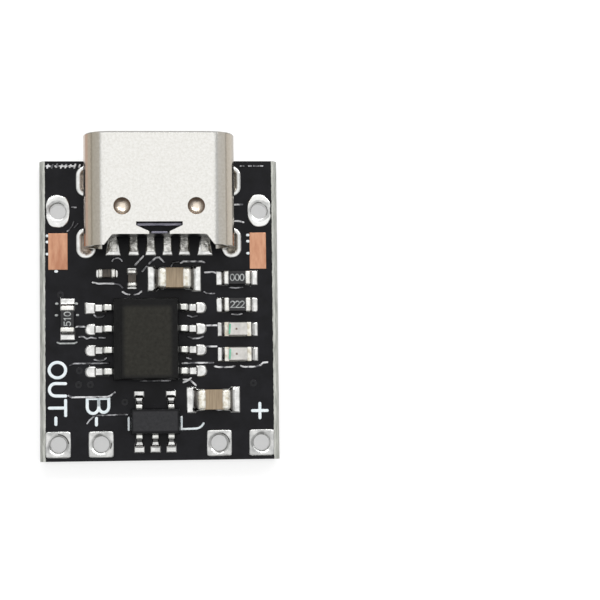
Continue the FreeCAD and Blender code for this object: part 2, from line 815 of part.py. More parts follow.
def chip_lands(name, across, along, turn, kind, end, height):
    # Two lands with a solder fillet from each to the end face above it
    reach = f"sizes.{kind}_land_reach"
    land_length = f"({reach} - ({end}) + sizes.{kind}_cap)"
    middle = f"({reach} - {land_length} / 2)"
    for side, facing in [("a", turn), ("b", turn + 180)]:
        land_across, land_along = spot_on(across, along, facing, middle, "0")
        width, length = turned(turn, land_length, f"sizes.{kind}_land_width")
        add_land(f"{name}_land_{side}", land_across, land_along, width, length)
        end_across, end_along = spot_on(across, along, facing, end, "0")
        add_solder(f"{name}_solder_{side}", end_across, end_along, facing,
                   f"0.8 * ({reach} - ({end}))", f"sizes.solder_rise_share * {height}",
                   f"sizes.{kind}_width")


def end_caps(name, across, along, turn, end, cap, width, height):
    caps = []
    for side, facing in [("a", turn), ("b", turn + 180)]:
        cap_across, cap_along = spot_on(across, along, facing, f"{end} - {cap} / 2", "0")
        cap_width, cap_length = turned(turn, cap, width)
        caps.append(bevelled_block(f"{name}_cap_{side}", cap_across, cap_along, land_top, cap_width,
                                   cap_length, height, "sizes.cap_bevel"))
    return group(f"{name}_caps", caps)


def make_chip_component(name, kind, turn):
    # A ceramic body between two metal end caps
    across = f"sizes.{name}_x"
    along = f"sizes.{name}_y"
    end = f"sizes.{kind}_length / 2"
    width = f"sizes.{kind}_width"
    height = f"sizes.{kind}_height"
    cap = f"sizes.{kind}_cap"
    relief = "sizes.ceramic_relief"
    body_length = f"(sizes.{kind}_length - 2 * {cap})"
    body_width, body_along = turned(turn, body_length, f"({width} - 2 * {relief})")
    core = block(f"{name}_core", across, along, f"{land_top} + {relief}", body_width, body_along,
                 f"{height} - 2 * {relief}")
    keep(core, f"{name}_body")
    keep(end_caps(name, across, along, turn, end, cap, width, height), f"{name}_end_caps")
    chip_lands(name, across, along, turn, kind, end, height)


def make_led(name):
    # A thin base with a terminal at each end and a clear lens moulded on top
    across = f"sizes.{name}_x"
    along = f"sizes.{name}_y"
    base_length = "(sizes.led_length - 2 * sizes.led_terminal)"
    base = block(f"{name}_base_block", across, along, land_top, base_length, "sizes.led_width",
                 "sizes.led_base_height")
    keep(base, f"{name}_base")
    terminals = []
    for side, facing in [("a", 0), ("b", 180)]:
        middle = "(sizes.led_length / 2 - sizes.led_terminal / 2)"
        end_across, end_along = spot_on(across, along, facing, middle, "0")
        terminals.append(block(f"{name}_terminal_{side}", end_across, end_along, land_top,
                               "sizes.led_terminal", "sizes.led_width", "sizes.led_base_height"))
        land_length = "(sizes.resistor_land_reach - sizes.led_length / 2 + sizes.led_terminal)"
        land_middle = f"(sizes.resistor_land_reach - {land_length} / 2)"
        land_across, land_along = spot_on(across, along, facing, land_middle, "0")
        add_land(f"{name}_land_{side}", land_across, land_along, land_length,
                 "sizes.resistor_land_width")
        toe_across, toe_along = spot_on(across, along, facing, "sizes.led_length / 2", "0")
        add_solder(f"{name}_solder_{side}", toe_across, toe_along, facing,
                   "0.8 * (sizes.resistor_land_reach - sizes.led_length / 2)",
                   "sizes.led_base_height", "sizes.led_width")
    keep(group(f"{name}_terminal_pair", terminals), f"{name}_terminals")
    lens = new_body(f"{name}_lens_body")
    section = rectangle_sketch(lens, "XY_Plane", "-sizes.led_lens_length / 2",
                               "sizes.led_lens_length / 2", "-sizes.led_width / 2",
                               "sizes.led_width / 2", "sizes.led_base_height")
    pad(lens, section, "sizes.led_lens_height", draft="sizes.led_lens_draft")
    place(lens, across, along, land_top)
    keep(lens, f"{name}_lens")


def check_document():
    doc.recompute()
    for item in doc.Objects:
        if "Invalid" in item.State or "Error" in item.State:
            raise ValueError(f"{item.Label} failed: {item.State}")
    for item in sub_parts:
        if item.Shape.isNull() or not item.Shape.isValid() or not item.Shape.Solids:
            raise ValueError(f"{item.Label} has no valid solid")


def export_parts():
    os.makedirs("parts", exist_ok=True)
    for item in sub_parts:
        item.Shape.exportStep(f"parts/{item.Label}.step")
    print(len(sub_parts), "sub-parts,", sum(len(item.Shape.Solids) for item in sub_parts), "solids")


make_board(make_terminals())
make_copper_lands()
make_shell()
socket_contacts = make_contacts()
make_insulator(socket_contacts + [make_tongue_plate()])
make_charger_chip()
make_protection_chip()
make_chip_component("input_capacitor", "capacitor", 0)
make_chip_component("battery_capacitor", "capacitor", 0)
make_chip_component("link_resistor", "resistor", 0)
make_chip_component("setting_resistor", "resistor", 0)
make_chip_component("supply_resistor", "resistor", 90)
make_chip_component("left_filter", "filter", 0)
make_chip_component("right_filter", "filter", 90)
make_led("charge_led")
make_led("standby_led")
keep(group("all_component_lands", component_lands), "component_lands")
keep(group("all_solder_joints", solder_joints), "solder_joints")
check_document()
export_parts()
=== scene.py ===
# The look of a small lithium charger board: black solder mask, tinned pads, a satin USB-C shell,
# moulded chips, ceramic capacitors and resistors, two clear LEDs and white printed marks.
# Everything is worked out in millimetres on the board's own frame and scaled to metres at the end.
import math
import bmesh
import bpy
from mathutils import Matrix, Vector, noise


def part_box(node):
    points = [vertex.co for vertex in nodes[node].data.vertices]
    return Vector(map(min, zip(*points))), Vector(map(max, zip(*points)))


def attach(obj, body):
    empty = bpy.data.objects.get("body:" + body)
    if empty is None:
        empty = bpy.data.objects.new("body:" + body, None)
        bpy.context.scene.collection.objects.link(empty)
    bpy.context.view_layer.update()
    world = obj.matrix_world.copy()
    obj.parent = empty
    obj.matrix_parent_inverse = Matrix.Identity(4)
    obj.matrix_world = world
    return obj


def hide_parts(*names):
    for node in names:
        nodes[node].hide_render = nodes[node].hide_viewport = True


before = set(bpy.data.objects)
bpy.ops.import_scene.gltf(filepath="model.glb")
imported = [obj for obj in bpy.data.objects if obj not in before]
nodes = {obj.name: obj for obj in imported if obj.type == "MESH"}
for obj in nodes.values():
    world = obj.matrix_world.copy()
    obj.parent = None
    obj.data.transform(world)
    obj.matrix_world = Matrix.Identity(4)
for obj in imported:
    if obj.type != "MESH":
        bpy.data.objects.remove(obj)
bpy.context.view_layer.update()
mm = 0.001
print("frame loaded:", len(nodes), "nodes")

levels = {"boardTop": 1.2, "landTop": 1.25, "body": "root"}
top, land = levels["boardTop"], levels["landTop"]


def tone(red, green, blue):
    # A colour as a screen shows it, turned into the linear values that shaders use
    def line(value):
        share = value / 255
        return share / 12.92 if share <= 0.04045 else ((share + 0.055) / 1.055) ** 2.4
    return (line(red), line(green), line(blue), 1.0)


def boxOf(name):
    low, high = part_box(name)
    return Vector(low) / mm, Vector(high) / mm


def planOf(name):
    # The centre and the half widths of a part seen from above
    low, high = boxOf(name)
    return ((low.x + high.x) / 2, (low.y + high.y) / 2), ((high.x - low.x) / 2, (high.y - low.y) / 2)


def setAll(item, **settings):
    for name, value in settings.items():
        setattr(item, name, value)
    return item


def placed(name, data):
    piece = bpy.data.objects.new(name, data)
    bpy.context.collection.objects.link(piece)
    return piece


# Shader building

def addNode(tree, kind, **settings):
    return setAll(tree.nodes.new(kind), **settings)


def plug(tree, socket, value):
    # A plain value is set on the socket, and a socket of another node is linked to it
    if isinstance(value, bpy.types.NodeSocket):
        tree.links.new(value, socket)
    else:
        socket.default_value = value


def feed(tree, node, *ordered, **named):
    for socket, value in zip(node.inputs, ordered):
        plug(tree, socket, value)
    for name, value in named.items():
        plug(tree, node.inputs[name.replace("_", " ")], value)
    return node


def mathNode(tree, operation, *values):
    return feed(tree, addNode(tree, "ShaderNodeMath", operation=operation), *values).outputs[0]


def vectorNode(tree, operation, *values):
    node = feed(tree, addNode(tree, "ShaderNodeVectorMath", operation=operation), *values)
    return node.outputs["Value" if operation == "LENGTH" else "Vector"]


def axesOf(tree, vector):
    return feed(tree, addNode(tree, "ShaderNodeSeparateXYZ"), vector).outputs


def spread(tree, value, shape="LINEAR", **ends):
    node = addNode(tree, "ShaderNodeMapRange", interpolation_type=shape)
    return feed(tree, node, Value=value, **ends).outputs["Result"]


def mixed(tree, factor, first, second, kind="RGBA", **settings):
    # Each kind of value has its own sockets on the mix node
    start, result = {"FLOAT": (2, 0), "RGBA": (6, 2)}[kind]
    node = addNode(tree, "ShaderNodeMix", data_type=kind, **settings)
    for index, value in ((0, factor), (start, first), (start + 1, second)):
        plug(tree, node.inputs[index], value)
    return node.outputs[result]


def newGroup(name, inputs, **outputs):
    # The kind of each input follows from its default value
    group = bpy.data.node_groups.new(name, "ShaderNodeTree")
    for label, default in inputs.items():
        kind = {3: "Vector", 4: "Color"}[len(default)] if isinstance(default, tuple) else "Float"
        socket = group.interface.new_socket(name=label, in_out="INPUT", socket_type="NodeSocket" + kind)
        socket.default_value = default
    for label, kind in outputs.items():
        group.interface.new_socket(name=label, in_out="OUTPUT", socket_type="NodeSocket" + kind)
    return group, addNode(group, "NodeGroupInput").outputs, addNode(group, "NodeGroupOutput")


def millimetreVector(tree, *stretch):
    place = addNode(tree, "ShaderNodeTexCoord").outputs["Object"]
    place = vectorNode(tree, "MULTIPLY", place, (1 / mm, 1 / mm, 1 / mm))
    return vectorNode(tree, "MULTIPLY", place, *stretch) if stretch else place


def noiseOf(tree, given, detail):
    # Noise per millimetre, stretched along any axis
    return feed(tree, addNode(tree, "ShaderNodeTexNoise"), Vector=millimetreVector(tree, given["Stretch"]),
                Scale=given["Scale"], Detail=detail, Roughness=0.6).outputs["Fac"]


def makeGrainGroup():
    # Fine relief
    group, given, sink = newGroup("fineGrain", {"Stretch": (1, 1, 1), "Scale": 4, "Detail": 3, "Height": 0.01},
                                  Value="Float", Normal="Vector")
    speckle = noiseOf(group, given, given["Detail"])
    bump = feed(group, addNode(group, "ShaderNodeBump"), Height=speckle, Strength=1.0,
                Distance=mathNode(group, "MULTIPLY", given["Height"], mm))
    feed(group, sink, Value=speckle, Normal=bump.outputs["Normal"])
    return group


def makeMottleGroup():
    # Two tones that drift into each other
    group, given, sink = newGroup("softMottle", {"Dark": (0, 0, 0, 1), "Light": (1, 1, 1, 1),
                                                 "Stretch": (1, 1, 1), "Scale": 1, "Low": 0.35, "High": 0.65},
                                  Color="Color", Mask="Float")
    mask = spread(group, noiseOf(group, given, 4.0), From_Min=given["Low"], From_Max=given["High"])
    feed(group, sink, Color=mixed(group, mask, given["Dark"], given["Light"]), Mask=mask)
    return group


def makeWindowGroup():
    # One inside an upright box of rounded plan, nought outside, with a soft rim
    group, given, sink = newGroup("softWindow", {"Centre": (0, 0, 0), "Half": (1, 1, 100), "Feather": 0.1},
                                  Mask="Float")
    shift = vectorNode(group, "SUBTRACT", millimetreVector(group), given["Centre"])
    excess = vectorNode(group, "SUBTRACT", vectorNode(group, "ABSOLUTE", shift), given["Half"])
    reach = vectorNode(group, "LENGTH", vectorNode(group, "MAXIMUM", excess, (0, 0, 0)))
    feed(group, sink, Mask=spread(group, reach, "SMOOTHSTEP", From_Max=given["Feather"], To_Min=1.0,
                                  To_Max=0.0))
    return group


windowGroup = makeWindowGroup()
grainGroup = makeGrainGroup()
mottleGroup = makeMottleGroup()


def useGroup(tree, group, **values):
    return feed(tree, addNode(tree, "ShaderNodeGroup", node_tree=group), **values).outputs


def mottle(tree, tones, **drift):
    dark, light = [tone(*shade) for shade in tones]
    return useGroup(tree, mottleGroup, Dark=dark, Light=light, **drift)["Color"]


def grainOver(tree, shader, roughness=None, **grain):
    relief = useGroup(tree, grainGroup, **grain)
    feed(tree, shader, Normal=relief["Normal"])
    if roughness:
        feed(tree, shader, Roughness=spread(tree, relief["Value"], To_Min=roughness[0], To_Max=roughness[1]))


def newFinish(name, **settings):
    material = bpy.data.materials.new(name)
    material.use_nodes = True
    tree = material.node_tree
    return material, tree, feed(tree, tree.nodes["Principled BSDF"], **settings)


def mottledFinish(name, dark, light, roughness, fine, height, coarse, grain={}, drift={}, **settings):
    # Most finishes here are two close tones over a fine relief
    material, tree, shader = newFinish(name, **settings)
    feed(tree, shader, Base_Color=mottle(tree, (dark, light), Scale=coarse, **drift))
    grainOver(tree, shader, roughness, Scale=fine, Height=height, **grain)
    return material


boardLook = {
    "mask": ((14, 14, 17), (24, 24, 28)),
    "paintedLighterBackMask": ((50, 50, 53), (60, 60, 64)),
    "laminate": ((150, 152, 146), (218, 219, 212)),
    "maskHalf": 6.81,
    "edgeWander": 0.05,
    "upright": 0.9,
    "middleHeight": 0.6,
    "maskRoughness": 0.28,
    "laminateRoughness": 0.85,
}


def boardFinish():
    # Black mask on both faces, bare glass-fibre laminate on the scored sides and the cut ends; the underside's
    # mask is painted a lighter grey than the top's, painted light that stands in for how it is lit
    look = boardLook
    material, tree, shader = newFinish("solderMask", Specular_IOR_Level=0.16)
    place = axesOf(tree, millimetreVector(tree))
    wander = useGroup(tree, mottleGroup, Scale=2.5, Low=0.3, High=0.7)["Mask"]
    ragged = mathNode(tree, "MULTIPLY_ADD", wander, look["edgeWander"], mathNode(tree, "ABSOLUTE", place["X"]))
    outside = mathNode(tree, "GREATER_THAN", ragged, look["maskHalf"] + look["edgeWander"] / 2)
    facing = axesOf(tree, addNode(tree, "ShaderNodeNewGeometry").outputs["True Normal"])
    steep = mathNode(tree, "LESS_THAN", mathNode(tree, "ABSOLUTE", facing["Z"]), look["upright"])
    bare = mathNode(tree, "MAXIMUM", outside, steep)
    below = mathNode(tree, "LESS_THAN", place["Z"], look["middleHeight"])
    mask = mixed(tree, below, mottle(tree, look["mask"], Scale=1.1), mottle(tree, look["paintedLighterBackMask"], Scale=0.8))
    fibres = mottle(tree, look["laminate"], Scale=3.0, Stretch=(3, 0.35, 2), Low=0.3, High=0.7)
    feed(tree, shader, Base_Color=mixed(tree, bare, mask, fibres),
         Roughness=spread(tree, bare, To_Min=look["maskRoughness"], To_Max=look["laminateRoughness"]))
    grainOver(tree, shader, Scale=2.2, Detail=2.0, Height=0.004)
    return material


def packageFinish(name, rim, flat, centre, half, feather):
    # Black moulding compound whose flat top is lapped to a paler, duller grey; the dark rim left round that
    # top is partly painted shade on the package's sides
    material, tree, shader = newFinish(name, Specular_IOR_Level=0.14)
    window = useGroup(tree, windowGroup, Centre=centre, Half=half, Feather=feather)["Mask"]
    lapped = mottle(tree, flat, Scale=5.5, Low=0.25, High=0.75)
    feed(tree, shader, Base_Color=mixed(tree, window, mottle(tree, rim, Scale=4.0), lapped),
         Roughness=spread(tree, window, To_Min=0.35, To_Max=0.7))
    grainOver(tree, shader, Scale=9.0, Detail=4.0, Height=0.02)
    return material


shellLook = {
    # Tones across the shell, from its left flank to its right one, in millimetres; the darker, streaked flanks
    # are painted shade, and the right flank is painted a little lighter than the left
    "tones": [(-4.47, (204, 190, 180)), (-4.36, (200, 186, 176)), (-4.32, (168, 143, 125)),
              (-4.21, (172, 148, 130)), (-4.15, (166, 155, 140)), (-3.95, (170, 161, 146)),
              (-3.88, (212, 204, 188)), (-3.5, (230, 223, 210)), (-3.42, (235, 234, 230)),
              (3.42, (235, 234, 230)), (3.5, (242, 237, 228)), (3.88, (234, 227, 215)),
              (3.95, (180, 172, 160)), (4.28, (190, 182, 170)), (4.4, (164, 156, 146))],
    "half": 4.5,
    "grainTone": (0.9, 0.895, 0.88, 1),
    "nose": 10.24,
    "noseTone": 0.5,
}


def shellFinish():
    # Satin plating; its bent flanks are painted darker in streaks along the shell, a painted shade, and it is
    # darker at the nose
    look = shellLook
    material, tree, shader = newFinish("satinShell", Metallic=1.0)
    across = axesOf(tree, millimetreVector(tree))["X"]
    bands = addNode(tree, "ShaderNodeValToRGB")
    feed(tree, bands, Fac=spread(tree, across, From_Min=-look["half"], From_Max=look["half"]))
    points = bands.color_ramp.elements
    for index, (place, shade) in enumerate(look["tones"]):
        point = points[index] if index < 2 else points.new(1.0)
        point.position = (place + look["half"]) / (2 * look["half"])
        point.color = tone(*shade)
    grain = useGroup(tree, mottleGroup, Dark=look["grainTone"], Light=(1, 1, 1, 1), Scale=7.0)["Color"]
    grained = mixed(tree, 1.0, bands.outputs["Color"], grain, blend_type="MULTIPLY")
    inner = useGroup(tree, windowGroup, Half=(100, look["nose"], 100), Feather=0.04)["Mask"]
    rim = spread(tree, inner, To_Min=look["noseTone"], To_Max=1.0)
    feed(tree, shader, Base_Color=vectorNode(tree, "MULTIPLY", grained, rim))
    grainOver(tree, shader, (0.12, 0.24), Scale=11.0, Detail=2.0, Height=0.004)
    return material


def steepShadeFinish(name, clean, steepShade, steep):
    # Bright metal painted darker wherever it climbs steeply, a painted shade in the fillets and on the leads'
    # sides
    material, tree, shader = newFinish(name, Metallic=1.0)
    facing = axesOf(tree, addNode(tree, "ShaderNodeNewGeometry").outputs["Normal"])
    flat = spread(tree, mathNode(tree, "ABSOLUTE", facing["Z"]), From_Min=steep[0], From_Max=steep[1])
    feed(tree, shader, Base_Color=mixed(tree, flat, tone(*steepShade), mottle(tree, clean, Scale=1.5)))
    grainOver(tree, shader, (0.12, 0.22), Scale=2.0, Detail=2.0, Height=0.02)
    return material


pressedLook = {"across": 2.17, "along": 5.85, "bright": 0.12, "dark": 0.52,
               "tones": ((240, 228, 212), (124, 108, 95))}


def dimpleFinish():
    # Painted shade and highlight: each dimple is painted bright in its middle and darker towards its rim
    look = pressedLook
    material, tree, shader = newFinish("dimplePaintedShade", Metallic=1.0)
    size = vectorNode(tree, "ABSOLUTE", millimetreVector(tree))
    shift = vectorNode(tree, "SUBTRACT", size, (look["across"], look["along"], 0))
    reach = vectorNode(tree, "LENGTH", vectorNode(tree, "MULTIPLY", shift, (1, 1, 0)))
    ring = spread(tree, reach, "SMOOTHSTEP", From_Min=look["bright"], From_Max=look["dark"])
    feed(tree, shader, Base_Color=mixed(tree, ring, *[tone(*shade) for shade in look["tones"]]))
    grainOver(tree, shader, (0.2, 0.32), Scale=8.0, Height=0.02)
    return material


# Mottled ones: dark and light tone, roughness from and to, scale and height of the relief, scale of the tones
finishes = {
    "mask": boardFinish(),
    "track": mottledFinish("maskOverTrack", (15, 15, 18), (25, 25, 29), (0.15, 0.3), 5.0, 0.006, 2.0,
                           Specular_IOR_Level=0.28),
    # Painted highlight: thin light lines laid along the tracks stand in for glints of light on the mask's
    # edges
    "shine": mottledFinish("paintedHighlightBright", (74, 74, 80), (226, 226, 228), (0.3, 0.5), 6.0, 0.01, 2.3,
                           drift={"Low": 0.4, "High": 0.52}),
    "dimShine": mottledFinish("paintedHighlightDim", (40, 40, 44), (186, 186, 190), (0.3, 0.5), 6.0, 0.01, 2.3,
                              drift={"Low": 0.42, "High": 0.58}),
    "padTin": mottledFinish("levelledTin", (172, 173, 172), (224, 224, 222), (0.22, 0.36), 1.3, 0.05, 1.5,
                            {"Detail": 1.2}, Metallic=1.0),
    "tin": mottledFinish("brightTin", (212, 213, 211), (240, 240, 238), (0.16, 0.28), 2.0, 0.03, 1.3,
                         {"Detail": 2.0}, Metallic=1.0),
    "solder": steepShadeFinish("brightSolder", ((200, 200, 198), (244, 244, 242)), (98, 90, 84), (0.45, 0.85)),
    "copper": mottledFinish("bareCopper", (184, 130, 102), (212, 163, 133), (0.34, 0.5), 9.0, 0.006, 1.2,
                            {"Stretch": (1.6, 0.4, 1)}, {"Stretch": (2, 0.5, 1)}, Metallic=0.85),
    "shell": shellFinish(),
    "plate": mottledFinish("tonguePlate", (200, 198, 190), (228, 226, 218), (0.2, 0.35), 8.0, 0.004, 3.0,
                           Metallic=1.0),
    "dimple": dimpleFinish(),
    "plastic": mottledFinish("socketPlastic", (12, 12, 14), (20, 20, 23), (0.3, 0.45), 8.0, 0.004, 3.0,
                             Specular_IOR_Level=0.1),
    # Painted highlight: far paler than the black plastic, for light caught on ridges in the socket's notch
    "bridge": mottledFinish("paintedHighlightPlastic", (92, 92, 106), (160, 158, 172), (0.2, 0.35), 8.0, 0.004, 3.0,
                            drift={"Stretch": (0.5, 3, 1)}),
    "contact": mottledFinish("tinnedContact", (120, 118, 114), (230, 229, 224), (0.16, 0.3), 3.0, 0.02, 1.1,
                             drift={"Low": 0.4, "High": 0.54}, Metallic=1.0),
    # The charger's paler window is set off centre, so that a wider dark rim on its left stands in as painted
    # shade
    "charger": packageFinish("chargerPackage", ((14, 14, 14), (23, 23, 23)), ((39, 38, 34), (53, 52, 47)),
                             (-0.72, -1.93, 0), (1.22, 1.88, 100), 0.34),
    "protection": packageFinish("protectionPackage", ((17, 17, 19), (25, 25, 27)),
                                ((46, 46, 48), (58, 58, 60)), (-0.3, -6.66, 0), (1.26, 0.53, 100), 0.1),
    "lead": steepShadeFinish("tinnedLead", ((214, 214, 209), (244, 244, 240)), (54, 52, 50), (0.4, 0.8)),
    "cap": mottledFinish("endCapTin", (208, 201, 182), (243, 241, 233), (0.22, 0.4), 5.0, 0.03, 3.4,
                         drift={"Low": 0.38, "High": 0.56}, Metallic=0.8),
    "smallCap": mottledFinish("smallCapTin", (222, 220, 212), (247, 247, 244), (0.2, 0.34), 5.0, 0.02, 3.4,
                              Metallic=0.8),
    "ceramic": mottledFinish("capacitorCeramic", (134, 116, 92), (171, 152, 126), (0.4, 0.6), 3.0, 0.01, 2.5,
                             {"Stretch": (4, 0.5, 1)}, {"Stretch": (6, 0.3, 1), "Low": 0.3, "High": 0.7}),
    "smallCeramic": mottledFinish("filterCeramic", (44, 40, 36), (92, 84, 74), (0.4, 0.6), 4.0, 0.01, 3.0,
                                  {"Stretch": (4, 0.5, 1)}, {"Stretch": (5, 0.5, 1)}),
    "glaze": mottledFinish("resistorGlaze", (20, 20, 22), (34, 34, 36), (0.22, 0.4), 3.0, 0.01, 3.0),
    "ledBase": mottledFinish("paleLaminate", (206, 205, 190), (238, 238, 226), (0.5, 0.7), 5.0, 0.01, 3.0),
    "ledLens": mottledFinish("milkyResin", (186, 184, 179), (220, 217, 212), (0.12, 0.25), 2.5, 0.02, 2.4,
                             drift={"Low": 0.3, "High": 0.7}, Coat_Weight=0.6),
    "ledGreen": mottledFinish("greenMark", (74, 164, 130), (132, 204, 174), (0.3, 0.4), 5.0, 0.01, 4.0),
    # Painted shadow: dark arcs on the pads' funnels and dark ovals under the socket's slots
    "paintedShadow": mottledFinish("paintedShadowTone", (26, 25, 24), (70, 66, 62), (0.4, 0.6), 5.0, 0.01, 4.0),
    "ledDie": mottledFinish("ledDie", (96, 76, 66), (136, 112, 98), (0.3, 0.4), 9.0, 0.01, 6.0),
    "ink": mottledFinish("whiteInk", (226, 237, 241), (244, 250, 252), (0.5, 0.7), 6.0, 0.006, 3.0),
    "dimInk": mottledFinish("resistorInk", (140, 144, 144), (198, 201, 199), (0.5, 0.7), 8.0, 0.006, 5.0),
}
print("finishes made:", len(finishes))


# Mesh building, in millimetres

def meshFrom(name, bm):
    bmesh.ops.scale(bm, vec=(mm, mm, mm), verts=bm.verts)
    mesh = bpy.data.meshes.new(name)
    bm.to_mesh(mesh)
    bm.free()
    return mesh


def finishPiece(name, bm, finish, replaced=(), sharpOver=50):
    for edge in bm.edges:
        if len(edge.link_faces) == 2 and edge.calc_face_angle(0) > math.radians(sharpOver):
            edge.smooth = False
    for face in bm.faces:
        face.smooth = True
    bmesh.ops.recalc_face_normals(bm, faces=bm.faces)
    piece = placed(name, meshFrom(name, bm))
    piece.data.materials.append(finishes[finish])
    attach(piece, levels["body"])
    if replaced:
        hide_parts(*replaced)
    return piece


def loft(bm, rings, joined=False):
    # Quads between rings of as many points, with both ends closed or joined to each other
    rows = [[bm.verts.new(point) for point in ring] for ring in rings]
    if joined:
        rows.append(rows[0])
    count = len(rows[0])
    for lower, upper in zip(rows, rows[1:]):
        for index in range(count):
            following = (index + 1) % count
            bm.faces.new((lower[index], lower[following], upper[following], upper[index]))
    if not joined:
        bm.faces.new(list(reversed(rows[0])))
        bm.faces.new(rows[-1])


def cornerArc(before, here, after, radius, steps):
    # The points of the arc that takes a corner's place
    back, ahead = (before - here).normalized(), (after - here).normalized()
    half = back.angle(ahead) / 2
    reach = radius / math.tan(half)
    middle = here + (back + ahead).normalized() * radius / math.sin(half)
    start, end = here + back * reach - middle, here + ahead * reach - middle
    return [middle + start.slerp(end, step / steps, start) * radius for step in range(steps + 1)]


def roundCorners(corners, radii, steps):
    # A closed outline whose corners become arcs
    spots = [Vector(corner) for corner in corners]
    outline = []
    for before, here, after, radius in zip(spots[-1:] + spots, spots, spots[1:] + spots, radii):
        outline += cornerArc(before, here, after, radius, steps)
    return outline


def rectangleOutline(low, high, radius, steps):
    corners = [(low[0], low[1]), (high[0], low[1]), (high[0], high[1]), (low[0], high[1])]
    return roundCorners(corners, [radius] * 4, steps)


def evened(outline, spacing):
    # Extra points on the long stretches, so that a surface over them can curve
    points = []
    for here, following in zip(outline, outline[1:] + outline[:1]):
        pieces = max(1, math.ceil((following - here).length / spacing))
        points += [here.lerp(following, step / pieces) for step in range(pieces)]
    return points


def shrunk(outline, centre, share):
    return [centre + (point - centre) * share for point in outline]


def atHeight(outline, height):
    return [Vector((point.x, point.y, height)) for point in outline]


ribbonLook = {
    # Across and up, as shares of the half width and the height
    "section": [(-1, 0), (-0.86, 0.62), (-0.5, 0.93), (0, 1), (0.5, 0.93), (0.86, 0.62), (1, 0)],
    # Beyond each end, and how far the section shrinks there
    "ends": [(0.45, 0.9), (0.8, 0.6), (1.0, 0.15)],
}


def ribbon(bm, points, width, base, height):
    # A raised line with a rounded section and rounded ends
    path = [Vector(point) for point in points]
    half = width / 2
    closed = (path[0] - path[-1]).length < 1e-6
    if closed:
        path.pop()
    rings = []
    count = len(path)
    for index, here in enumerate(path):
        before = path[index - 1] if index > 0 or closed else here
        after = path[(index + 1) % count] if index < count - 1 or closed else here
        along = ((here - before).normalized() + (after - here).normalized()).normalized()
        across = Vector((-along.y, along.x))
        stretch = 1.0
        if before is not here and after is not here:
            stretch = 1 / max(0.5, along.dot((after - here).normalized()))
        spots = [(here, stretch, 1.0)]
        if before is here:
            spots = [(here - along * half * beyond, share, share)
                     for beyond, share in reversed(ribbonLook["ends"])] + spots
        if after is here:
            spots += [(here + along * half * beyond, share, share) for beyond, share in ribbonLook["ends"]]
        for spot, wide, tall in spots:
            flat = [(spot + across * offset * half * wide, rise) for offset, rise in ribbonLook["section"]]
            rings.append([Vector((place.x, place.y, base + height * rise * tall)) for place, rise in flat])
    loft(bm, rings, joined=closed)


def arc(centre, radii, start, end, steps=12):
    points = []
    for step in range(steps + 1):
        angle = math.radians(start + (end - start) * step / steps)
        points.append((centre[0] + radii[0] * math.cos(angle), centre[1] + radii[1] * math.sin(angle)))
    return points


def softBox(bm, low, high, radius, crown=0.0, wobble=0.0, seed=0.0):
    # A block with rounded edges and slightly swollen, uneven faces
    low, high = Vector(low), Vector(high)
    middle, size = (low + high) / 2, high - low
    shares = [0.0, 0.3, 0.65, 1.0]
    spans = []
    for axis in range(3):
        half = size[axis] / 2
        outer = [-half + radius * share for share in shares]
        inner = [(half - radius) * share for share in (-0.5, 0.0, 0.5)]
        spans.append(outer + inner + [-value for value in reversed(outer)])
    last = len(spans[0]) - 1
    made = {}

    def corner(spot):
        if spot not in made:
            place = Vector((spans[axis][spot[axis]] for axis in range(3)))
            core = Vector((max(-size[axis] / 2 + radius, min(size[axis] / 2 - radius, place[axis]))
                           for axis in range(3)))
            out = (place - core).normalized()
            unit = Vector((place[axis] / size[axis] * 2 for axis in range(3)))
            ranked = sorted(abs(value) for value in unit)
            swell = crown * (1 - ranked[0] ** 2) * (1 - ranked[1] ** 2)
            swell += wobble * noise.noise((place + middle) * 2.3 + Vector((seed, seed, seed)))
            made[spot] = bm.verts.new(middle + core + out * (radius + swell))
        return made[spot]

    for axis in range(3):
        one, two = (axis + 1) % 3, (axis + 2) % 3
        for end in (0, last):
            for i in range(last):
                for j in range(last):
                    spots = []
                    for a, b in ((i, j), (i + 1, j), (i + 1, j + 1), (i, j + 1)):
                        spot = [0, 0, 0]
                        spot[axis], spot[one], spot[two] = end, a, b
                        spots.append(corner(tuple(spot)))
                    bm.faces.new(spots if end else list(reversed(spots)))


def addModifier(piece, kind, **settings):
    setAll(piece.modifiers.new(kind, kind), **settings)


def weldPoints(piece):
    addModifier(piece, "WELD", merge_threshold=0.000002)


def roundEdges(piece, width, segments):
    addModifier(piece, "DECIMATE", decimate_type="DISSOLVE", angle_limit=math.radians(1))
    addModifier(piece, "BEVEL", width=width * mm, segments=segments, limit_method="ANGLE",
                angle_limit=math.radians(28))


def softenNode(name, finish, width=0.0, segments=3):
    # A part that keeps its own shape gets its finish and small rounded edges
    node = nodes[name]
    for slot in node.material_slots:
        slot.material = finishes[finish]
    if width:
        weldPoints(node)
        roundEdges(node, width, segments)
        addModifier(node, "WEIGHTED_NORMAL", keep_sharp=True)


# The board and its printed marks

softenNode("printed_circuit_board", "mask")

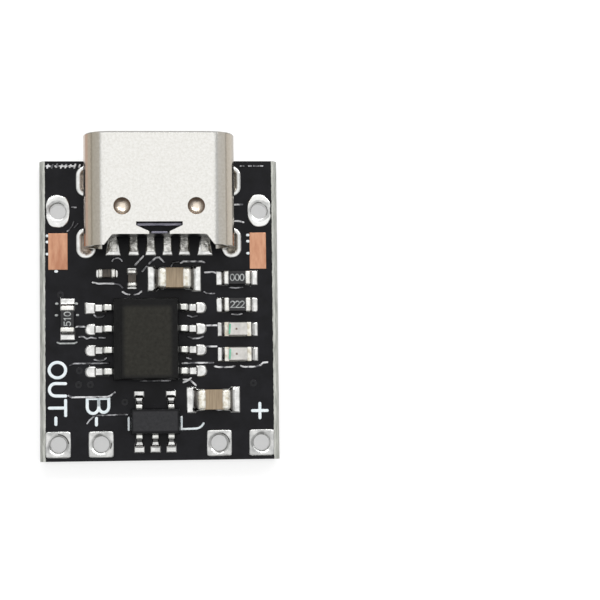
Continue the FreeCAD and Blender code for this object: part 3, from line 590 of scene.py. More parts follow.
trackLook = {"width": 0.17, "height": 0.035, "sunk": 0.004, "viaRadius": 0.24, "viaRise": 0.45,
             "shineHeight": 0.012, "brightWidth": 0.11, "dimWidth": 0.09}
# Tracks under the mask; a painted highlight line also runs along each, brighter on these and dimmer on
# dimTracks
brightTracks = [
    [(-1.45, 2.7), (-0.95, 3.25)],
    [(-1.0, 2.35), (-0.75, 2.62)],
    [(-0.6, 2.8), (-0.2, 3.15), (0.0, 3.18), (0.3, 2.88)],
    [(1.3, 2.82), (1.45, 2.92), (2.6, 2.92), (2.72, 2.85)],
    [(-2.2, 1.1), (-2.0, 0.98), (-1.8, 0.95)],
    [(-1.5, 0.95), (-1.25, 0.98), (-1.08, 1.12)],
    [(2.75, 2.25), (3.2, 2.27), (3.4, 2.22), (3.5, 2.1)],
    [(-4.95, -0.97), (-4.5, -0.97)],
    [(2.85, -0.95), (3.45, -0.95)],
    [(2.85, -2.22), (3.4, -2.22)],
    [(1.35, -3.22), (1.55, -3.2), (3.2, -3.2)],
    [(3.28, -3.42), (3.5, -3.46), (4.3, -3.46), (4.5, -3.4)],
    [(4.85, -3.4), (5.05, -3.46), (5.75, -3.46), (6.05, -3.36), (6.2, -3.22), (6.45, -3.2)],
    [(1.4, -4.18), (1.75, -4.2), (2.0, -4.4), (2.15, -4.55)],
    [(1.4, -4.35), (1.6, -4.28), (1.85, -4.1)],
    [(-5.45, -5.08), (-5.25, -5.18), (-3.15, -5.18), (-2.95, -5.1), (-2.7, -4.92)],
    [(4.45, 6.35), (5.05, 6.35)],
    [(4.5, 5.35), (4.8, 5.35), (5.1, 5.28)],
    [(3.2, -5.95), (3.5, -6.02), (3.8, -5.98)],
    [(-3.98, 1.68), (-3.6, 1.6), (-3.3, 1.62), (-2.7, 1.6), (-2.4, 1.55), (-2.2, 1.36)],
]
dimTracks = [
    arc((-2.52, 2.9), (0.3, 0.24), 15, 165, 8),
    [(0.72, 2.62), (0.85, 2.85), (1.15, 2.9)],
    [(2.7, 1.08), (2.85, 0.98), (3.3, 0.97)],
    [(-4.8, -1.58), (-4.55, -1.56), (-4.35, -1.7), (-4.1, -1.62), (-3.8, -1.68)],
    [(-3.6, -1.63), (-3.25, -1.65)],
    [(-3.9, -0.28), (-3.75, -0.42), (-3.45, -0.42), (-3.3, -0.3)],
    [(-5.35, -3.28), (-5.1, -3.17), (-3.05, -3.17)],
    [(-3.9, -2.95), (-3.6, -3.02), (-3.35, -2.98), (-3.2, -2.86)],
    [(-4.35, -6.75), (-4.2, -6.55), (-4.0, -6.38), (-3.8, -6.28), (-1.95, -6.25)],
    [(1.7, -0.35), (1.95, -0.45), (2.25, -0.38)],
    [(1.7, -1.62), (1.95, -1.74), (2.35, -1.72), (2.6, -1.62)],
    [(1.6, -2.88), (1.85, -2.98)],
    [(-1.15, -4.24), (0.6, -4.24)],
    [(-5.2, 6.22), (-4.95, 6.2)],
    arc((-6.05, 5.6), (1.0, 1.0), -55, -15, 8),
    [(-5.05, 5.0), (-4.85, 5.2)],
    [(4.2, 1.33), (4.6, 1.3), (5.0, 1.34)],
    [(4.35, -0.28), (4.7, -0.32), (4.95, -0.26)],
]
# Short strokes near the top edge that get only a painted highlight line, for glints there
frontTicks = [[(-6.66 + step * 0.27, 8.6 + step % 3 * 0.02), (-6.6 + step * 0.27, 8.8 - step % 2 * 0.03)]
              for step in range(8)] + [[(-4.5, 8.62), (-4.36, 8.78)]]
frontBrokenLine = [(-6.7, -6.35), (-6.2, -5.95), (-5.85, -5.5), (-5.35, -5.05), (4.95, 5.15), (5.45, 5.6),
                   (5.75, 6.05), (6.15, 6.3)]
vias = [(-4.85, -4.45), (-4.15, -4.45), (-4.8, -3.6), (-2.1, -5.5), (-5.9, 0.95), (5.6, -4.45),
        (0.55, -4.95)]
# Across and up each filled hole, as shares of its radius and its height
viaProfile = [(1.0, 0.0), (0.9, 0.7), (0.72, 1.0), (0.52, 0.75), (0.3, 0.2), (0.1, 0.0)]


def ridges(name, lines, spots, base, height, viaHeight):
    # The tracks under the mask, and its filled holes: a low ring with a dip in the middle of each
    bm = bmesh.new()
    for line in lines:
        ribbon(bm, line, trackLook["width"], base, height)
    circle = [Vector(point) for point in arc((0, 0), [trackLook["viaRadius"]] * 2, 0, 345, 23)]
    for spot in spots:
        loft(bm, [atHeight([Vector(spot) + point * share for point in circle], base + viaHeight * rise)
                  for share, rise in viaProfile])
    finishPiece(name, bm, "track")


# Painted highlights: thin light lines on the crests of the tracks, standing in for glints
def paintedHighlightLines(name, lines, finish, width):
    bm = bmesh.new()
    for line in lines:
        ribbon(bm, line, width, top + trackLook["height"] - trackLook["shineHeight"], trackLook["shineHeight"])
    finishPiece(name, bm, finish)


brokenLine = [[(left, 8.7), (right, 8.7)] for left, right in frontBrokenLine]
ridges("trackRidges", brightTracks + dimTracks + brokenLine, vias, top - trackLook["sunk"],
       trackLook["height"], trackLook["height"] * trackLook["viaRise"])
paintedHighlightLines("paintedBrightHighlights", brightTracks + brokenLine[:4] + frontTicks, "shine", trackLook["brightWidth"])
paintedHighlightLines("paintedDimHighlights", dimTracks + brokenLine[4:], "dimShine", trackLook["dimWidth"])
backTracks = [[(-6.2, 8.75), (6.2, 8.75)], [(-1.8, 2.9), (2.2, 2.9)]]
backVias = [(1.85, 7.8), (0.1, 7.8), (-1.75, 7.8), (0.6, 4.7), (3.65, 3.0), (1.25, 2.3), (-2.35, 2.4),
            (0.05, -1.5), (-1.45, -1.45), (0.05, -2.35), (-1.45, -2.4), (-6.0, -3.6), (-6.0, -4.8),
            (1.45, -4.65)]
ridges("backRidges", backTracks, backVias, trackLook["sunk"], *[-trackLook["height"] / 2] * 2)


inkLook = {"stroke": 0.19, "thin": 0.13, "dot": 0.17, "dotHalf": 0.03, "faintDot": 0.14, "faintLine": 0.1,
           "height": 0.016, "sunk": 0.002}
# Digits on the underside and on the resistors: how tall they are, their stroke and how far they stand out
backDigits = {"height": 1.2, "stroke": 0.2, "relief": -0.014}
resistorDigits = {"height": 0.38, "stroke": 0.062, "relief": 0.012}
digitStrokes = {
    "0": [arc((0.5, 0.8), (0.5, 0.8), 90, 450, 20)],
    "1": [[(0.2, 1.3), (0.55, 1.6), (0.55, 0.0)]],
    "2": [arc((0.5, 1.12), (0.48, 0.48), 165, -35, 10) + [(0.02, 0.0), (1.0, 0.0)]],
    "3": [arc((0.45, 1.2), (0.45, 0.4), 150, -80, 9), arc((0.45, 0.42), (0.52, 0.42), 85, -150, 11)],
    "4": [[(0.75, 0.0), (0.75, 1.6), (0.0, 0.5), (1.05, 0.5)]],
    "5": [[(0.95, 1.6), (0.12, 1.6), (0.06, 0.9)] + arc((0.45, 0.52), (0.52, 0.52), 130, -150, 12)],
    "6": [[(0.8, 1.6), (0.2, 0.95)] + arc((0.5, 0.5), (0.5, 0.5), 150, -210, 16)],
    "7": [[(0.0, 1.6), (1.0, 1.6), (0.35, 0.0)]],
    "8": [arc((0.5, 1.2), (0.4, 0.4), 90, 450, 16), arc((0.5, 0.41), (0.5, 0.41), 90, 450, 16)],
    "9": [[(0.2, 0.0), (0.8, 0.65)] + arc((0.5, 1.1), (0.5, 0.5), -30, 330, 16)],
}


def printDigits(bm, text, centre, look, base, gap, turn=0, mirrored=False):
    # Plain numbers from strokes, one unit wide and 1.6 units tall
    unit = look["height"] / 1.6
    total = len(text) + gap * (len(text) - 1)
    rotation = Matrix.Rotation(math.radians(turn), 2)
    for index, mark in enumerate(text):
        for line in digitStrokes.get(mark, []):
            points = []
            for across, up in line:
                spot = Vector((index * (1 + gap) + across - total / 2, up - 0.8)) * unit
                if mirrored:
                    spot.x = -spot.x
                points.append(Vector(centre) + rotation @ spot)
            ribbon(bm, points, look["stroke"], base, look["relief"])


def printLines(bm, lines, width):
    for line in lines:
        ribbon(bm, line, width, top - inkLook["sunk"], inkLook["height"])


def printDots(bm, dots, width):
    printLines(bm, [[(across - inkLook["dotHalf"], along), (across + inkLook["dotHalf"], along)]
                    for across, along in dots], width)


letters = [
    arc((-6.1, -3.55), (0.49, 0.46), 0, 360, 28),
    [(-5.62, -4.36)] + arc((-6.22, -4.72), (0.36, 0.37), 90, 270, 10) + [(-5.62, -5.1)],
    [(-5.62, -5.36), (-5.62, -6.26)],
    [(-6.58, -5.81), (-5.66, -5.81)],
    [(-6.2, -6.4), (-6.2, -6.78)],
    [(-4.34, -5.26), (-3.06, -5.26)],
    [(-4.34, -5.28)] + arc((-4.0, -5.78), (0.34, 0.38), 180, 360, 10) + [(-3.66, -5.28)],
    [(-3.66, -5.28)] + arc((-3.36, -5.74), (0.3, 0.36), 180, 360, 10) + [(-3.06, -5.28)],
    [(-3.8, -6.44), (-3.8, -6.84)],
    [(5.53, -6.1), (6.41, -6.1)],
    [(5.97, -6.53), (5.97, -5.67)],
]
thinMarks = [
    [(-1.88, -6.45), (-1.88, -7.15)],
    [(1.27, -6.42), (1.27, -7.15), (2.1, -7.13)] + arc((2.1, -6.6), (0.53, 0.53), -80, -25, 5),
]
dots = [(-6.66, 4.5), (-6.66, 4.13), (-6.66, 3.4), (5.36, 4.5), (5.36, 4.13), (5.36, 3.4), (-6.15, 2.36)]
bm = bmesh.new()
printLines(bm, letters, inkLook["stroke"])
printLines(bm, thinMarks, inkLook["thin"])
printDots(bm, dots, inkLook["dot"])
finishPiece("printedMarks", bm, "ink")
bm = bmesh.new()
printDots(bm, [(-6.12, 0.42), (-4.95, 0.42), (-4.9, -0.27), (-6.14, -0.27)], inkLook["faintDot"])
printLines(bm, [[(-6.1, -1.9), (-5.95, -1.96), (-5.1, -1.96), (-4.95, -1.9)]], inkLook["faintLine"])
finishPiece("faintMarks", bm, "dimInk")
bm = bmesh.new()
for text, centre, gap in (("012345", (0.2, -3.8), 0.62), ("67890", (0.13, -5.5), 0.75)):
    printDigits(bm, text, centre, backDigits, inkLook["sunk"], gap, mirrored=True)
finishPiece("backMarks", bm, "ink")
print("board dressed")


# Plated terminals: wire pads, input pads and the rings round the socket's legs

def angles(count):
    return [2 * math.pi * index / count for index in range(count)]


def squareRing(centre, half, power, height, count=48):
    # The higher the power, the sharper the corners
    ring = []
    for angle in angles(count):
        across, along = math.cos(angle), math.sin(angle)
        reach = (abs(across / half[0]) ** power + abs(along / half[1]) ** power) ** (-1 / power)
        ring.append(Vector((centre[0] + reach * across, centre[1] + reach * along, height)))
    return ring


def ovalRing(centre, radius, half, height, count=48):
    ring = []
    for angle in angles(count):
        shift = half if math.sin(angle) > 1e-9 else -half if math.sin(angle) < -1e-9 else 0
        ring.append(Vector((centre[0] + radius * math.cos(angle),
                            centre[1] + shift + radius * math.sin(angle), height)))
    return ring


def between(outer, inner, share, height):
    return atHeight([first.lerp(second, share) for first, second in zip(outer, inner)], height)


def ruffle(ring, amount, seed):
    # Tin that has run a little unevenly
    return [Vector((point.x, point.y, point.z + amount * noise.noise(point * 1.9 + Vector((seed, 0, 0)))))
            for point in ring]


padLook = {
    "squareness": 14,
    "hole": 0.5,
    "crown": 0.05,
    "funnel": 0.17,
    "funnelDepth": 0.068,
    "inputDepth": 0.046,
    "inputRim": 0.69,
    "unevenness": 0.04,
    "film": 0.04,
    "spill": 0.05,
    # Shares of each way, from the rim to the mouth, on to the hole and down it, with the rise, the fall
    # and the film of tin there
    "dome": ((0.03, 0.25), (0.08, 0.5), (0.2, 0.8), (0.4, 1.0), (0.6, 1.05), (0.8, 0.95), (1.0, 0.85)),
    "throat": ((0.15, 0.08), (0.35, 0.3), (0.6, 0.58), (0.85, 0.86), (1.0, 1.15)),
    "barrel": ((0.8, 0.6), (0.5, 1.0), (0.2, 0.6)),
    # Where a shadow is painted as a dark arc on the funnel of each pad, from and to in degrees
    "paintedShadow": {"radius": 0.61, "width": 0.08, "level": 0.014, "height": 0.024},
    "paintedShadowSpans": {"output_negative_terminal": (8, 88), "battery_negative_terminal": (-22, 4),
               "battery_positive_terminal": (5, 72)},
}


def wirePad(name, square):
    look = padLook
    centre, half = planOf(name)
    hole, uneven = look["hole"], look["unevenness"]
    seed = centre[0] * 3 + centre[1]
    if square:
        outer = brim = squareRing(centre, half, look["squareness"], top)
    else:
        outer = ovalRing(centre, half[0], half[1] - half[0], top)
        brim = [point + (point - Vector((*centre, top))).normalized() * look["spill"]
                * (0.75 + 1.1 * noise.noise(point * 2.7)) for point in outer]
    inner = ovalRing(centre, hole, 0, 0)
    mouth = ovalRing(centre, hole + look["funnel"], 0, 0)
    rings = [between(outer, inner, 0, top - 0.01), between(brim, inner, 0.0, land - 0.01)]
    for share, rise in look["dome"]:
        rings.append(ruffle(between(brim, mouth, share, land + look["crown"] * rise), uneven, seed))
    brink = land + look["crown"] * look["dome"][-1][1]
    for share, fall in look["throat"]:
        level = brink - look["funnelDepth" if square else "inputDepth"] * fall
        rings.append(ruffle(between(mouth, inner, share, level), uneven * (1 - share), seed))
    for share, film in look["barrel"]:
        rings.append(ovalRing(centre, hole - look["film"] * film, 0, land * share))
    # Along the underside and back up to the outer wall
    for ring, share, level in ((inner, 0, 0.06), (mouth, 0.45, 0.012), (outer, 0.1, 0.004), (outer, 0, 0.014),
                               (outer, 0, 0.05)):
        rings.append(between(ring, inner, share, level))
    bm = bmesh.new()
    loft(bm, rings, joined=True)
    # With normals on its faces, finishPiece can keep the edge of the hole sharp
    bm.normal_update()
    piece = finishPiece(name + "_pad", bm, "padTin" if square else "tin", (name,), 60)
    if not square:
        piece.data.materials.append(finishes["padTin"])
        for face in piece.data.polygons:
            spot = face.center / mm
            within = math.hypot(spot.x - centre[0], spot.y - centre[1]) < look["inputRim"]
            face.material_index = 1 if within and spot.z > 1 else 0


for place in ("output_negative", "battery_negative", "battery_positive", "output_positive"):
    wirePad(place + "_terminal", True)
for place in ("input_left", "input_right"):
    wirePad(place + "_terminal", False)
bm = bmesh.new()
paintedShadow = padLook["paintedShadow"]
for name, (begin, end) in padLook["paintedShadowSpans"].items():
    ribbon(bm, arc(planOf(name)[0], [paintedShadow["radius"]] * 2, begin, end, 10), paintedShadow["width"],
           land + paintedShadow["level"], paintedShadow["height"])
finishPiece("paintedShadowArcs", bm, "paintedShadow")

slotLook = {
    "half": 0.34,
    "radius": 0.31,
    "lip": 0.24,
    "core": 0.02,
    "spill": 0.035,
    "shadow": 0.29,
    "unevenness": 0.02,
    # Shares of the way from the brim to the lip and on to the core, with the height over the land
    "dome": ((0.0, -0.02), (0.06, 0.02), (0.2, 0.045), (0.45, 0.055), (0.7, 0.05), (0.9, 0.02), (1.0, -0.04)),
    "well": ((0.1, -0.2), (0.4, -0.26), (1.0, -0.28)),
    "legEnd": ((-0.15, -0.42, -0.012), (0.13, 0.4, 0.05)),
}


def slotRing(name):
    # The ring stands round the slot, and the solder in it climbs the socket's leg
    look = slotLook
    centre, half = planOf(name)
    outer = ovalRing(centre, half[0], half[1] - half[0], 0)
    brim = ovalRing(centre, half[0] + look["spill"], half[1] - half[0], 0)
    inner, core, lip = [ovalRing(centre, look[part], look["half"], 0) for part in ("radius", "core", "lip")]
    rings = [between(inner, core, 1.0, 0.16), between(inner, core, 0.5, 0.1), between(inner, core, 0.0, 0.03),
             between(outer, inner, 0.6, 0.004), between(outer, inner, 0.06, 0.004),
             between(outer, inner, 0.0, 0.02), between(outer, inner, 0.0, top)]
    rings += [ruffle(between(brim, lip, share, land + rise), look["unevenness"], centre[0] + centre[1])
              for share, rise in look["dome"]]
    rings += [between(lip, core, share, land + rise) for share, rise in look["well"]]
    bm = bmesh.new()
    loft(bm, rings)
    finishPiece(name + "_ring", bm, "tin", (name,), 60)


legs, shadows = bmesh.new(), bmesh.new()
for row in ("front", "rear"):
    for side in ("left", "right"):
        name = f"{row}_{side}_leg_slot"
        slotRing(name)
        middle = Vector((*planOf(name)[0], 0))
        loft(shadows, [ovalRing(middle, slotLook["shadow"], slotLook["half"], height)
                       for height in (0.03, 0.0)])
        softBox(legs, *[middle + Vector(corner) for corner in slotLook["legEnd"]], 0.03, 0.0, 0.01, middle.x)
finishPiece("slotShadows", shadows, "paintedShadow")
finishPiece("legEnds", legs, "plate")
for side in ("left", "right"):
    softenNode(f"{side}_copper_land", "copper", 0.02, 2)
print("terminals made")


# Leads, end caps, lands and solder

def leadSection(width, thickness):
    return rectangleOutline((-width / 2, -thickness / 2), (width / 2, thickness / 2), thickness * 0.42, 3)


def bentPath(corners, radius, steps=6):
    # Straight runs with an arc at each inner corner, in one upright plane
    spots = [Vector(corner) for corner in corners]
    path = spots[:1]
    for before, here, after in zip(spots, spots[1:], spots[2:]):
        path += cornerArc(before, here, after, radius, steps)
    return path + spots[-1:]


def sweptStrip(bm, path, section, place):
    # The section follows the path, and place turns its run, side and height into a point
    rings = []
    for before, here, after in zip(path[:1] + path, path, path[1:] + path[-1:]):
        along = (after - before).normalized()
        normal = Vector((-along.y, along.x))
        spots = [(here + normal * lift, side) for side, lift in section]
        rings.append([place(spot.x, side, spot.y) for spot, side in spots])
    first, last = [[point.lerp(sum(ring, Vector()) / len(ring), 0.12) for point in ring]
                   for ring in (rings[0], rings[-1])]
    loft(bm, [first] + rings + [last])


leadLook = {
    "charger": {"thickness": 0.2, "shoulder": 0.84, "slope": 0.11, "bend": 0.1},
    "protection": {"thickness": 0.15, "shoulder": 0.53, "slope": 0.3, "bend": 0.05},
}


def gullLead(name, outward, look):
    # outward is the direction in which the lead leaves its package
    low, high = boxOf(name)
    middle, half = [Vector(pair) for pair in planOf(name)]
    out = Vector(outward)
    side = Vector((-out.y, out.x))
    toe, thickness = abs(half.dot(out)), look["thickness"]
    rise, foot = high.z - thickness / 2, low.z + thickness / 2
    knee = look["shoulder"] - toe
    corners = [(-toe, rise), (knee, rise), (knee + look["slope"], foot), (toe, foot)]

    def place(run, sideways, height):
        return Vector((*(middle + out * run + side * sideways), height))

    bm = bmesh.new()
    sweptStrip(bm, bentPath(corners, look["bend"]), leadSection(2 * abs(half.dot(side)), thickness), place)
    finishPiece(name + "_strip", bm, "lead", (name,))


for number in range(1, 9):
    gullLead(f"charger_lead_{number}", (-1, 0) if number <= 4 else (1, 0), leadLook["charger"])
for number in range(1, 6):
    gullLead(f"protection_lead_{number}", (0, -1) if number <= 3 else (0, 1), leadLook["protection"])


# Chip components by kind: their caps, and their lands with the solder that climbs the caps
chipKinds = {
    "capacitor": {"finish": "ceramic", "capFinish": "cap", "softness": 0.03, "cap": 0.54, "capRound": 0.17,
                  "swell": 0.02, "reach": 1.6, "inner": 0.62, "half": 0.78, "rise": 0.55, "run": 0.16,
                  "waist": 0.66, "front": 0.54, "round": 0.04},
    "resistor": {"finish": "glaze", "capFinish": "smallCap", "softness": 0.02, "cap": 0.3, "capRound": 0.08,
                 "swell": 0.008, "reach": 1.25, "inner": 0.5, "half": 0.44, "rise": 0.26, "run": 0.08},
    "filter": {"finish": "smallCeramic", "capFinish": "smallCap", "softness": 0.03, "cap": 0.26,
               "capRound": 0.09, "swell": 0.008, "reach": 0.66, "inner": 0.2, "half": 0.3, "rise": 0.3,
               "run": 0.08},
}
# Which way each one lies, 0 for X and 1 for Y, and the corners of its lands
components = {"input_capacitor": (0, 0.05), "battery_capacitor": (0, 0.05), "link_resistor": (0, 0.05),
              "setting_resistor": (0, 0.14), "supply_resistor": (1, 0.05), "left_filter": (0, 0.2),
              "right_filter": (1, 0.1)}


def chipCaps(name, along, look):
    # Two dipped caps round the ends of a ceramic body
    low, high = boxOf(name)
    bm = bmesh.new()
    for end in (0, 1):
        capLow, capHigh = low.copy(), high.copy()
        if end:
            capLow[along] = high[along] - look["cap"]
        else:
            capHigh[along] = low[along] + look["cap"]
        softBox(bm, capLow, capHigh, look["capRound"], look["swell"], 0.02, low.x + end)
    finishPiece(name + "_dipped", bm, look["capFinish"], (name,), 60)


for name, (along, corner) in components.items():
    look = chipKinds[name.split("_")[1]]
    chipCaps(name + "_end_caps", along, look)
    softenNode(name + "_body", look["finish"], look["softness"])

bm = bmesh.new()
for name, text, turn in (("link", "000", 0), ("setting", "222", 0), ("supply", "510", 90)):
    body = name + "_resistor_body"
    printDigits(bm, text, planOf(body)[0], resistorDigits, boxOf(body)[1].z - inkLook["sunk"], 0.22, turn)
finishPiece("resistorNumbers", bm, "dimInk")

solderLook = {"rings": 15, "spacing": 0.07, "rim": 0.97, "landRim": 0.975, "unevenness": 0.02}
lands, joints = bmesh.new(), bmesh.new()


def solderedLand(outline, rise, runs, foot, dome, power=2):
    # The solder domes in the open, climbs the metal foot and is thin at the rim of the land
    look = solderLook
    outline = evened(outline, look["spacing"])
    centre = sum(outline, Vector((0, 0))) / len(outline)
    loft(lands, [atHeight(outline, top - 0.01), atHeight(outline, land - 0.012),
                 atHeight(shrunk(outline, centre, look["landRim"]), land)])
    (left, rear), (right, front) = foot

    def height(point, share):
        edge = min(1.0, (1 - share) / 0.3)
        edge = math.sqrt(max(0.0, 1 - (1 - edge) ** 2))
        across = max(left - point.x, 0, point.x - right) / runs[0]
        along = max(rear - point.y, 0, point.y - front) / runs[1]
        climb = max(0.0, 1 - math.hypot(across, along))
        wave = look["unevenness"] * noise.noise(Vector((point.x, point.y, 0)) * 2.1)
        return (dome + wave) * edge + rise * climb ** power * edge

    rim = shrunk(outline, centre, look["rim"])
    rings = [atHeight(rim, land - 0.01)]
    for step in range(look["rings"]):
        share = 1 - step / look["rings"]
        rings.append([Vector((point.x, point.y, land + height(point, share)))
                      for point in shrunk(rim, centre, share)])
    loft(joints, rings)


def waistedOutline(outer, inner, middle, corner, sizes, upright=False):
    # Full width in front of the lead's toe, and hardly wider than the lead beside its foot
    way = 1 if inner > outer else -1
    wide, narrow, toe = sizes["half"], sizes["waist"], outer + way * sizes["front"]
    corners = [(outer, -wide), (toe, -wide), (toe + way * 0.08, -narrow), (inner, -narrow)]
    corners += [(run, -side) for run, side in reversed(corners)]
    corners = [(run, middle + side) for run, side in corners]
    radii = [corner, sizes["round"], 0.03, 0.06, 0.06, 0.03, sizes["round"], corner]
    return roundCorners([spot[::-1] for spot in corners] if upright else corners, radii, 6)


# The chips' lands run out from a middle line, and their solder climbs from heel to toe of each lead
chipLook = {
    "charger": {"centre": (-0.82, -1.78), "pitch": 1.27, "outer": 3.64, "inner": 2.2, "toe": 3.0,
                "heel": 1.9, "half": 0.35, "waist": 0.25, "front": 0.6, "round": 0.16, "footHalf": 0.21,
                "rise": 0.16, "runs": (0.09, 0.05), "dome": 0.06},
    "protection": {"centre": (-6.67, -0.3), "pitch": 0.95, "outer": 1.87, "inner": 0.92, "toe": 1.4,
                   "heel": 0.8, "half": 0.31, "waist": 0.21, "front": 0.5, "round": 0.16, "footHalf": 0.2,
                   "rise": 0.2, "runs": (0.1, 0.2), "dome": 0.05},
}


def chipLand(look, side, step, corner, upright=False):
    start, middle = look["centre"]
    outer, inner, toe, heel = [start + side * look[edge] for edge in ("outer", "inner", "toe", "heel")]
    middle += step * look["pitch"]
    foot = [(min(toe, heel), middle - look["footHalf"]), (max(toe, heel), middle + look["footHalf"])]
    solderedLand(waistedOutline(outer, inner, middle, corner, look, upright), look["rise"], look["runs"],
                 [spot[::-1] for spot in foot] if upright else foot, look["dome"])


for step in (1.5, 0.5, -0.5, -1.5):
    for side in (-1, 1):
        chipLand(chipLook["charger"], side, step, 0.05 if step == 1.5 and side < 0 else 0.34)
for step in (-1, 0, 1):
    for side in (-1, 1):
        if side < 0 or step:
            chipLand(chipLook["protection"], side, step, 0.06, True)

for name, (along, corner) in components.items():
    look = chipKinds[name.split("_")[1]]
    low, high = boxOf(name + "_end_caps")
    middle = (low + high) / 2
    runs = [look["run"], look["run"]]
    runs[along] = (look["reach"] - 0.14) - (high[along] - low[along]) / 2
    for side in (-1, 1):
        near, far = middle[along] + side * look["inner"], middle[along] + side * look["reach"]
        if "waist" in look:
            outline = waistedOutline(far, near, middle.y, corner, look)
        else:
            corners = [[value + way * look["half"] for value in middle.xy] for way in (-1, 1)]
            corners[0][along], corners[1][along] = sorted((near, far))
            outline = rectangleOutline(*corners, corner, 6)
        solderedLand(outline, look["rise"], runs, (low.xy, high.xy), 0.03, 4)
for name in ("charge_led", "standby_led"):
    low, high = boxOf(name + "_terminals")
    middle = (low + high) / 2
    for side in (-1, 1):
        near, far = sorted((middle.x + side * 0.5, middle.x + side * 1.22))
        outline = rectangleOutline((near, middle.y - 0.42), (far, middle.y + 0.42), 0.06, 6)
        solderedLand(outline, 0.22, (0.36, 0.06), (low.xy, high.xy), 0.03, 3)
# The width of each contact's land at its toe and at its heel
contacts = {"left_ground": (0.93, 0.56), "left_power": (0.64, 0.5), "left_signal": (0.66, 0.48),
            "right_signal": (0.62, 0.46), "right_power": (0.7, 0.56), "right_ground": (0.93, 0.56)}
for name, widths in contacts.items():
    low, high = boxOf(f"usb_{name}_contact")
    (toe, heel), middle = [width / 2 for width in widths], (low.x + high.x) / 2
    corners = [(middle - toe, 3.28), (middle + toe, 3.28), (middle + heel, 4.5), (middle - heel, 4.5)]
    solderedLand(roundCorners(corners, [0.05] * 4, 3), 0.03, (0.1, 0.12), ((low.x, 3.5), (high.x, 4.6)), 0.04)
finishPiece("componentLands", lands, "tin", ("component_lands",))
finishPiece("solderJoints", joints, "solder", ("solder_joints",), 60)
print("leads, caps and solder made")


# Chips, LEDs and socket

ledLook = {"die": ((-0.16, -0.06, -0.06), (-0.04, 0.06, 0.012)), "dieRound": 0.02,
           "mark": ((0.1, 0.26), (0.06, -0.26)), "markWidth": 0.12, "markSunk": 0.012, "markHeight": 0.02}
softenNode("charger_chip_body", "charger", 0.05)
softenNode("protection_chip_body", "protection", 0.04)
for name in ("charge_led", "standby_led"):
    softenNode(name + "_base", "ledBase", 0.015, 2)
    softenNode(name + "_terminals", "cap", 0.02, 2)
    softenNode(name + "_lens", "ledLens", 0.05)
    low, high = boxOf(name + "_lens")
    middle = Vector((*planOf(name + "_lens")[0], high.z))
    bm = bmesh.new()
    softBox(bm, *[middle + Vector(corner) for corner in ledLook["die"]], ledLook["dieRound"])
    finishPiece(name + "Die", bm, "ledDie")
    bm = bmesh.new()
    line = [(low.x + across, middle.y + along) for across, along in ledLook["mark"]]
    ribbon(bm, line, ledLook["markWidth"], high.z - ledLook["markSunk"], ledLook["markHeight"])
    finishPiece(name + "Mark", bm, "ledGreen")

# Deeper bowls than the part's own, from a ball; their floor lies between the two heights
dimpleLook = {"across": 2.17, "along": 5.92, "radius": 0.51, "ball": 0.64, "rim": 0.05, "floorUnder": 0.012,
              "floorOver": 2}


def makeShell():
    # A copy of the shell with deeper pressed dimples and softened edges
    look = dimpleLook
    low, high = boxOf("usb_shell")
    node = nodes["usb_shell"]
    piece = placed("shellBody", node.data.copy())
    piece.matrix_world = node.matrix_world.copy()
    bm = bmesh.new()
    depth = look["ball"] - math.sqrt(look["ball"] ** 2 - look["radius"] ** 2)
    for side in (-1, 1):
        centre = Vector((side * look["across"], look["along"], high.z - depth + look["ball"]))
        bmesh.ops.create_uvsphere(bm, u_segments=64, v_segments=48, radius=look["ball"],
                                  matrix=Matrix.Translation(centre))
    balls = placed("dimpleBalls", meshFrom("dimpleBalls", bm))
    weldPoints(piece)
    addModifier(piece, "BOOLEAN", operation="DIFFERENCE", object=balls, solver="EXACT")
    roundEdges(piece, look["rim"], 3)
    view = bpy.context.evaluated_depsgraph_get()
    final = bpy.data.meshes.new_from_object(piece.evaluated_get(view))
    piece.modifiers.clear()
    piece.data = final
    final.materials.clear()
    for finish in ("shell", "dimple"):
        final.materials.append(finishes[finish])
    for face in final.polygons:
        spot = face.center / mm
        inside = math.hypot(abs(spot.x) - look["across"], spot.y - look["along"]) < look["radius"] - 0.01
        sunk = low.z + look["floorOver"] < spot.z < high.z - look["floorUnder"]
        face.material_index = 1 if inside and sunk else 0
        face.use_smooth = True
    addModifier(piece, "WEIGHTED_NORMAL", keep_sharp=True)
    bpy.data.objects.remove(balls)
    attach(piece, levels["body"])
    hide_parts("usb_shell")


makeShell()
softenNode("usb_insulator", "plastic", 0.03)
softenNode("usb_tongue_plate", "plate", 0.02, 2)
# Two low ridges on the insulator in the socket's notch, with a painted highlight in their finish
bridgeLook = {"height": 4.2, "thickness": 0.06, "rows": [(1.24, 4.85, 0.17), (0.42, 4.38, 0.13)]}
bm = bmesh.new()
for half, along, width in bridgeLook["rows"]:
    ribbon(bm, [(-half, along), (half, along)], width, bridgeLook["height"] - bridgeLook["thickness"],
           bridgeLook["thickness"])
finishPiece("socketBridgeHighlight", bm, "bridge")
for name in contacts:
    softenNode(f"usb_{name}_contact", "contact", 0.03)
print("chips, LEDs and socket dressed")


# Floor, light and camera

floorLook = {"half": 2.0, "level": -0.05, "glow": 0.7, "albedo": 0.4, "underBoard": (6.6, 8.5, 100),
             "underRim": 0.8, "underShadeGlow": 0.45}


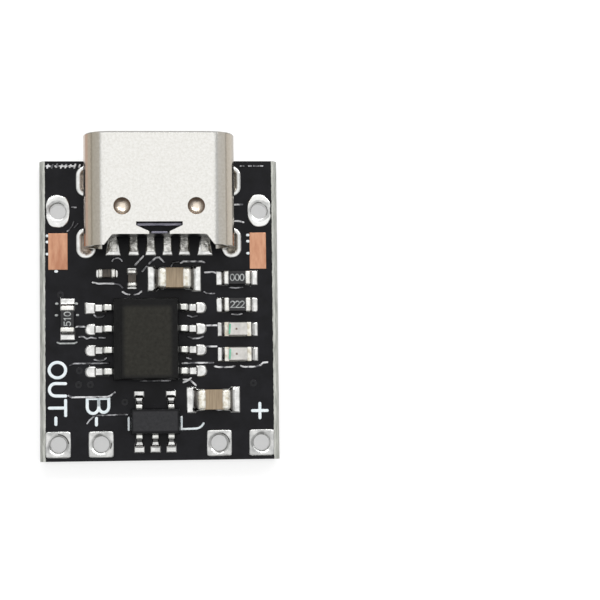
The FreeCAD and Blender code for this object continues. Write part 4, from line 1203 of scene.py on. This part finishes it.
def makeFloor():
    look = floorLook
    half, level = look["half"], look["level"] * mm
    corners = [(-half, -half, level), (half, -half, level), (half, half, level), (-half, half, level)]
    mesh = bpy.data.meshes.new("floor")
    mesh.from_pydata(corners, [], [(0, 1, 2, 3)])
    floor = placed("floor", mesh)
    material, tree, shader = newFinish("paleFloor", Base_Color=(look["albedo"],) * 3 + (1,), Roughness=1.0,
                                       Emission_Color=(1, 1, 1, 1), Specular_IOR_Level=0.0)
    rays = addNode(tree, "ShaderNodeLightPath").outputs
    seen = mathNode(tree, "MAXIMUM", rays["Is Camera Ray"], rays["Is Glossy Ray"])
    seen = mathNode(tree, "MAXIMUM", seen, rays["Is Transmission Ray"])
    # Under the board the floor's glow is lowered, a painted shade that shows through the holes
    under = useGroup(tree, windowGroup, Half=look["underBoard"], Feather=look["underRim"])["Mask"]
    glow = spread(tree, under, To_Min=look["glow"], To_Max=look["underShadeGlow"])
    feed(tree, shader, Emission_Strength=mathNode(tree, "MULTIPLY", seen, glow))
    # Seen from below the floor is away, and it lets light up to the underside
    gap = mathNode(tree, "MULTIPLY", mathNode(tree, "SUBTRACT", 1.0, seen), under)
    away = mathNode(tree, "MAXIMUM", addNode(tree, "ShaderNodeNewGeometry").outputs["Backfacing"], gap)
    clear = addNode(tree, "ShaderNodeBsdfTransparent").outputs[0]
    either = feed(tree, addNode(tree, "ShaderNodeMixShader"), away, shader.outputs[0], clear)
    feed(tree, tree.nodes["Material Output"], Surface=either.outputs[0])
    mesh.materials.append(material)


skyLook = {"boxHalf": 0.6, "boxShift": 0.04, "boxRim": 0.04, "boxLevel": 1.08, "room": 0.3, "sideGain": 0.28,
           "northGain": 0.12}


def makeSky():
    # A large soft box overhead in a dimmer room
    look = skyLook
    world = bpy.data.worlds.new("studio")
    bpy.context.scene.world = world
    world.use_nodes = True
    tree = world.node_tree
    place = axesOf(tree, addNode(tree, "ShaderNodeTexCoord").outputs["Generated"])
    sideways = mathNode(tree, "ABSOLUTE", mathNode(tree, "ADD", place["X"], look["boxShift"]))
    reach = mathNode(tree, "MAXIMUM", sideways, mathNode(tree, "ABSOLUTE", place["Y"]))
    box = spread(tree, reach, "SMOOTHSTEP", From_Min=look["boxHalf"] - look["boxRim"],
                 From_Max=look["boxHalf"] + look["boxRim"], To_Min=1.0, To_Max=0.0)
    wings = mathNode(tree, "ABSOLUTE", place["X"])
    wings = mathNode(tree, "MULTIPLY_ADD", wings, look["sideGain"], look["room"])
    room = mathNode(tree, "MULTIPLY_ADD", place["Y"], look["northGain"], wings)
    level = mixed(tree, box, room, look["boxLevel"], "FLOAT")
    seen = addNode(tree, "ShaderNodeLightPath").outputs["Is Camera Ray"]
    feed(tree, tree.nodes["Background"], Color=(1, 1, 1, 1), Strength=mixed(tree, seen, level, 1.0, "FLOAT"))


lampLook = {"size": (0.42, 0.03), "distance": 0.3, "azimuth": 74, "elevation": 46, "watts": 0.46}


def makeLamp():
    look = lampLook
    light = bpy.data.lights.new("stripLamp", "AREA")
    light.shape = "RECTANGLE"
    light.size, light.size_y = look["size"]
    light.energy = look["watts"]
    lamp = placed("stripLamp", light)
    azimuth, elevation = math.radians(look["azimuth"]), math.radians(look["elevation"])
    away = Vector((math.cos(azimuth) * math.cos(elevation), math.sin(azimuth) * math.cos(elevation),
                   math.sin(elevation)))
    lamp.location = away * look["distance"]
    lamp.rotation_euler = away.to_track_quat("Z", "Y").to_euler()


cameraLook = {"place": (-1.17, -7.07, 113.2), "aim": (8.475, 0.5455, 1.2), "roll": -0.722, "lens": 111.82}


def makeCamera():
    look = cameraLook
    lens = bpy.data.cameras.new("camera")
    lens.lens = look["lens"]
    lens.sensor_width = 36.0
    lens.clip_start = 0.002
    camera = placed("camera", lens)
    place, aim = Vector(look["place"]) * mm, Vector(look["aim"]) * mm
    back = (place - aim).normalized()
    right = Vector((0, 1, 0)).cross(back).normalized()
    turn = Matrix((right, back.cross(right), back)).transposed().to_4x4()
    roll = Matrix.Rotation(math.radians(look["roll"]), 4, "Z")
    camera.matrix_world = Matrix.Translation(place) @ turn @ roll
    bpy.context.scene.camera = camera


makeFloor()
makeSky()
makeLamp()
makeCamera()
bpy.context.scene.view_settings.view_transform = "Standard"
print("stage, light and camera set")
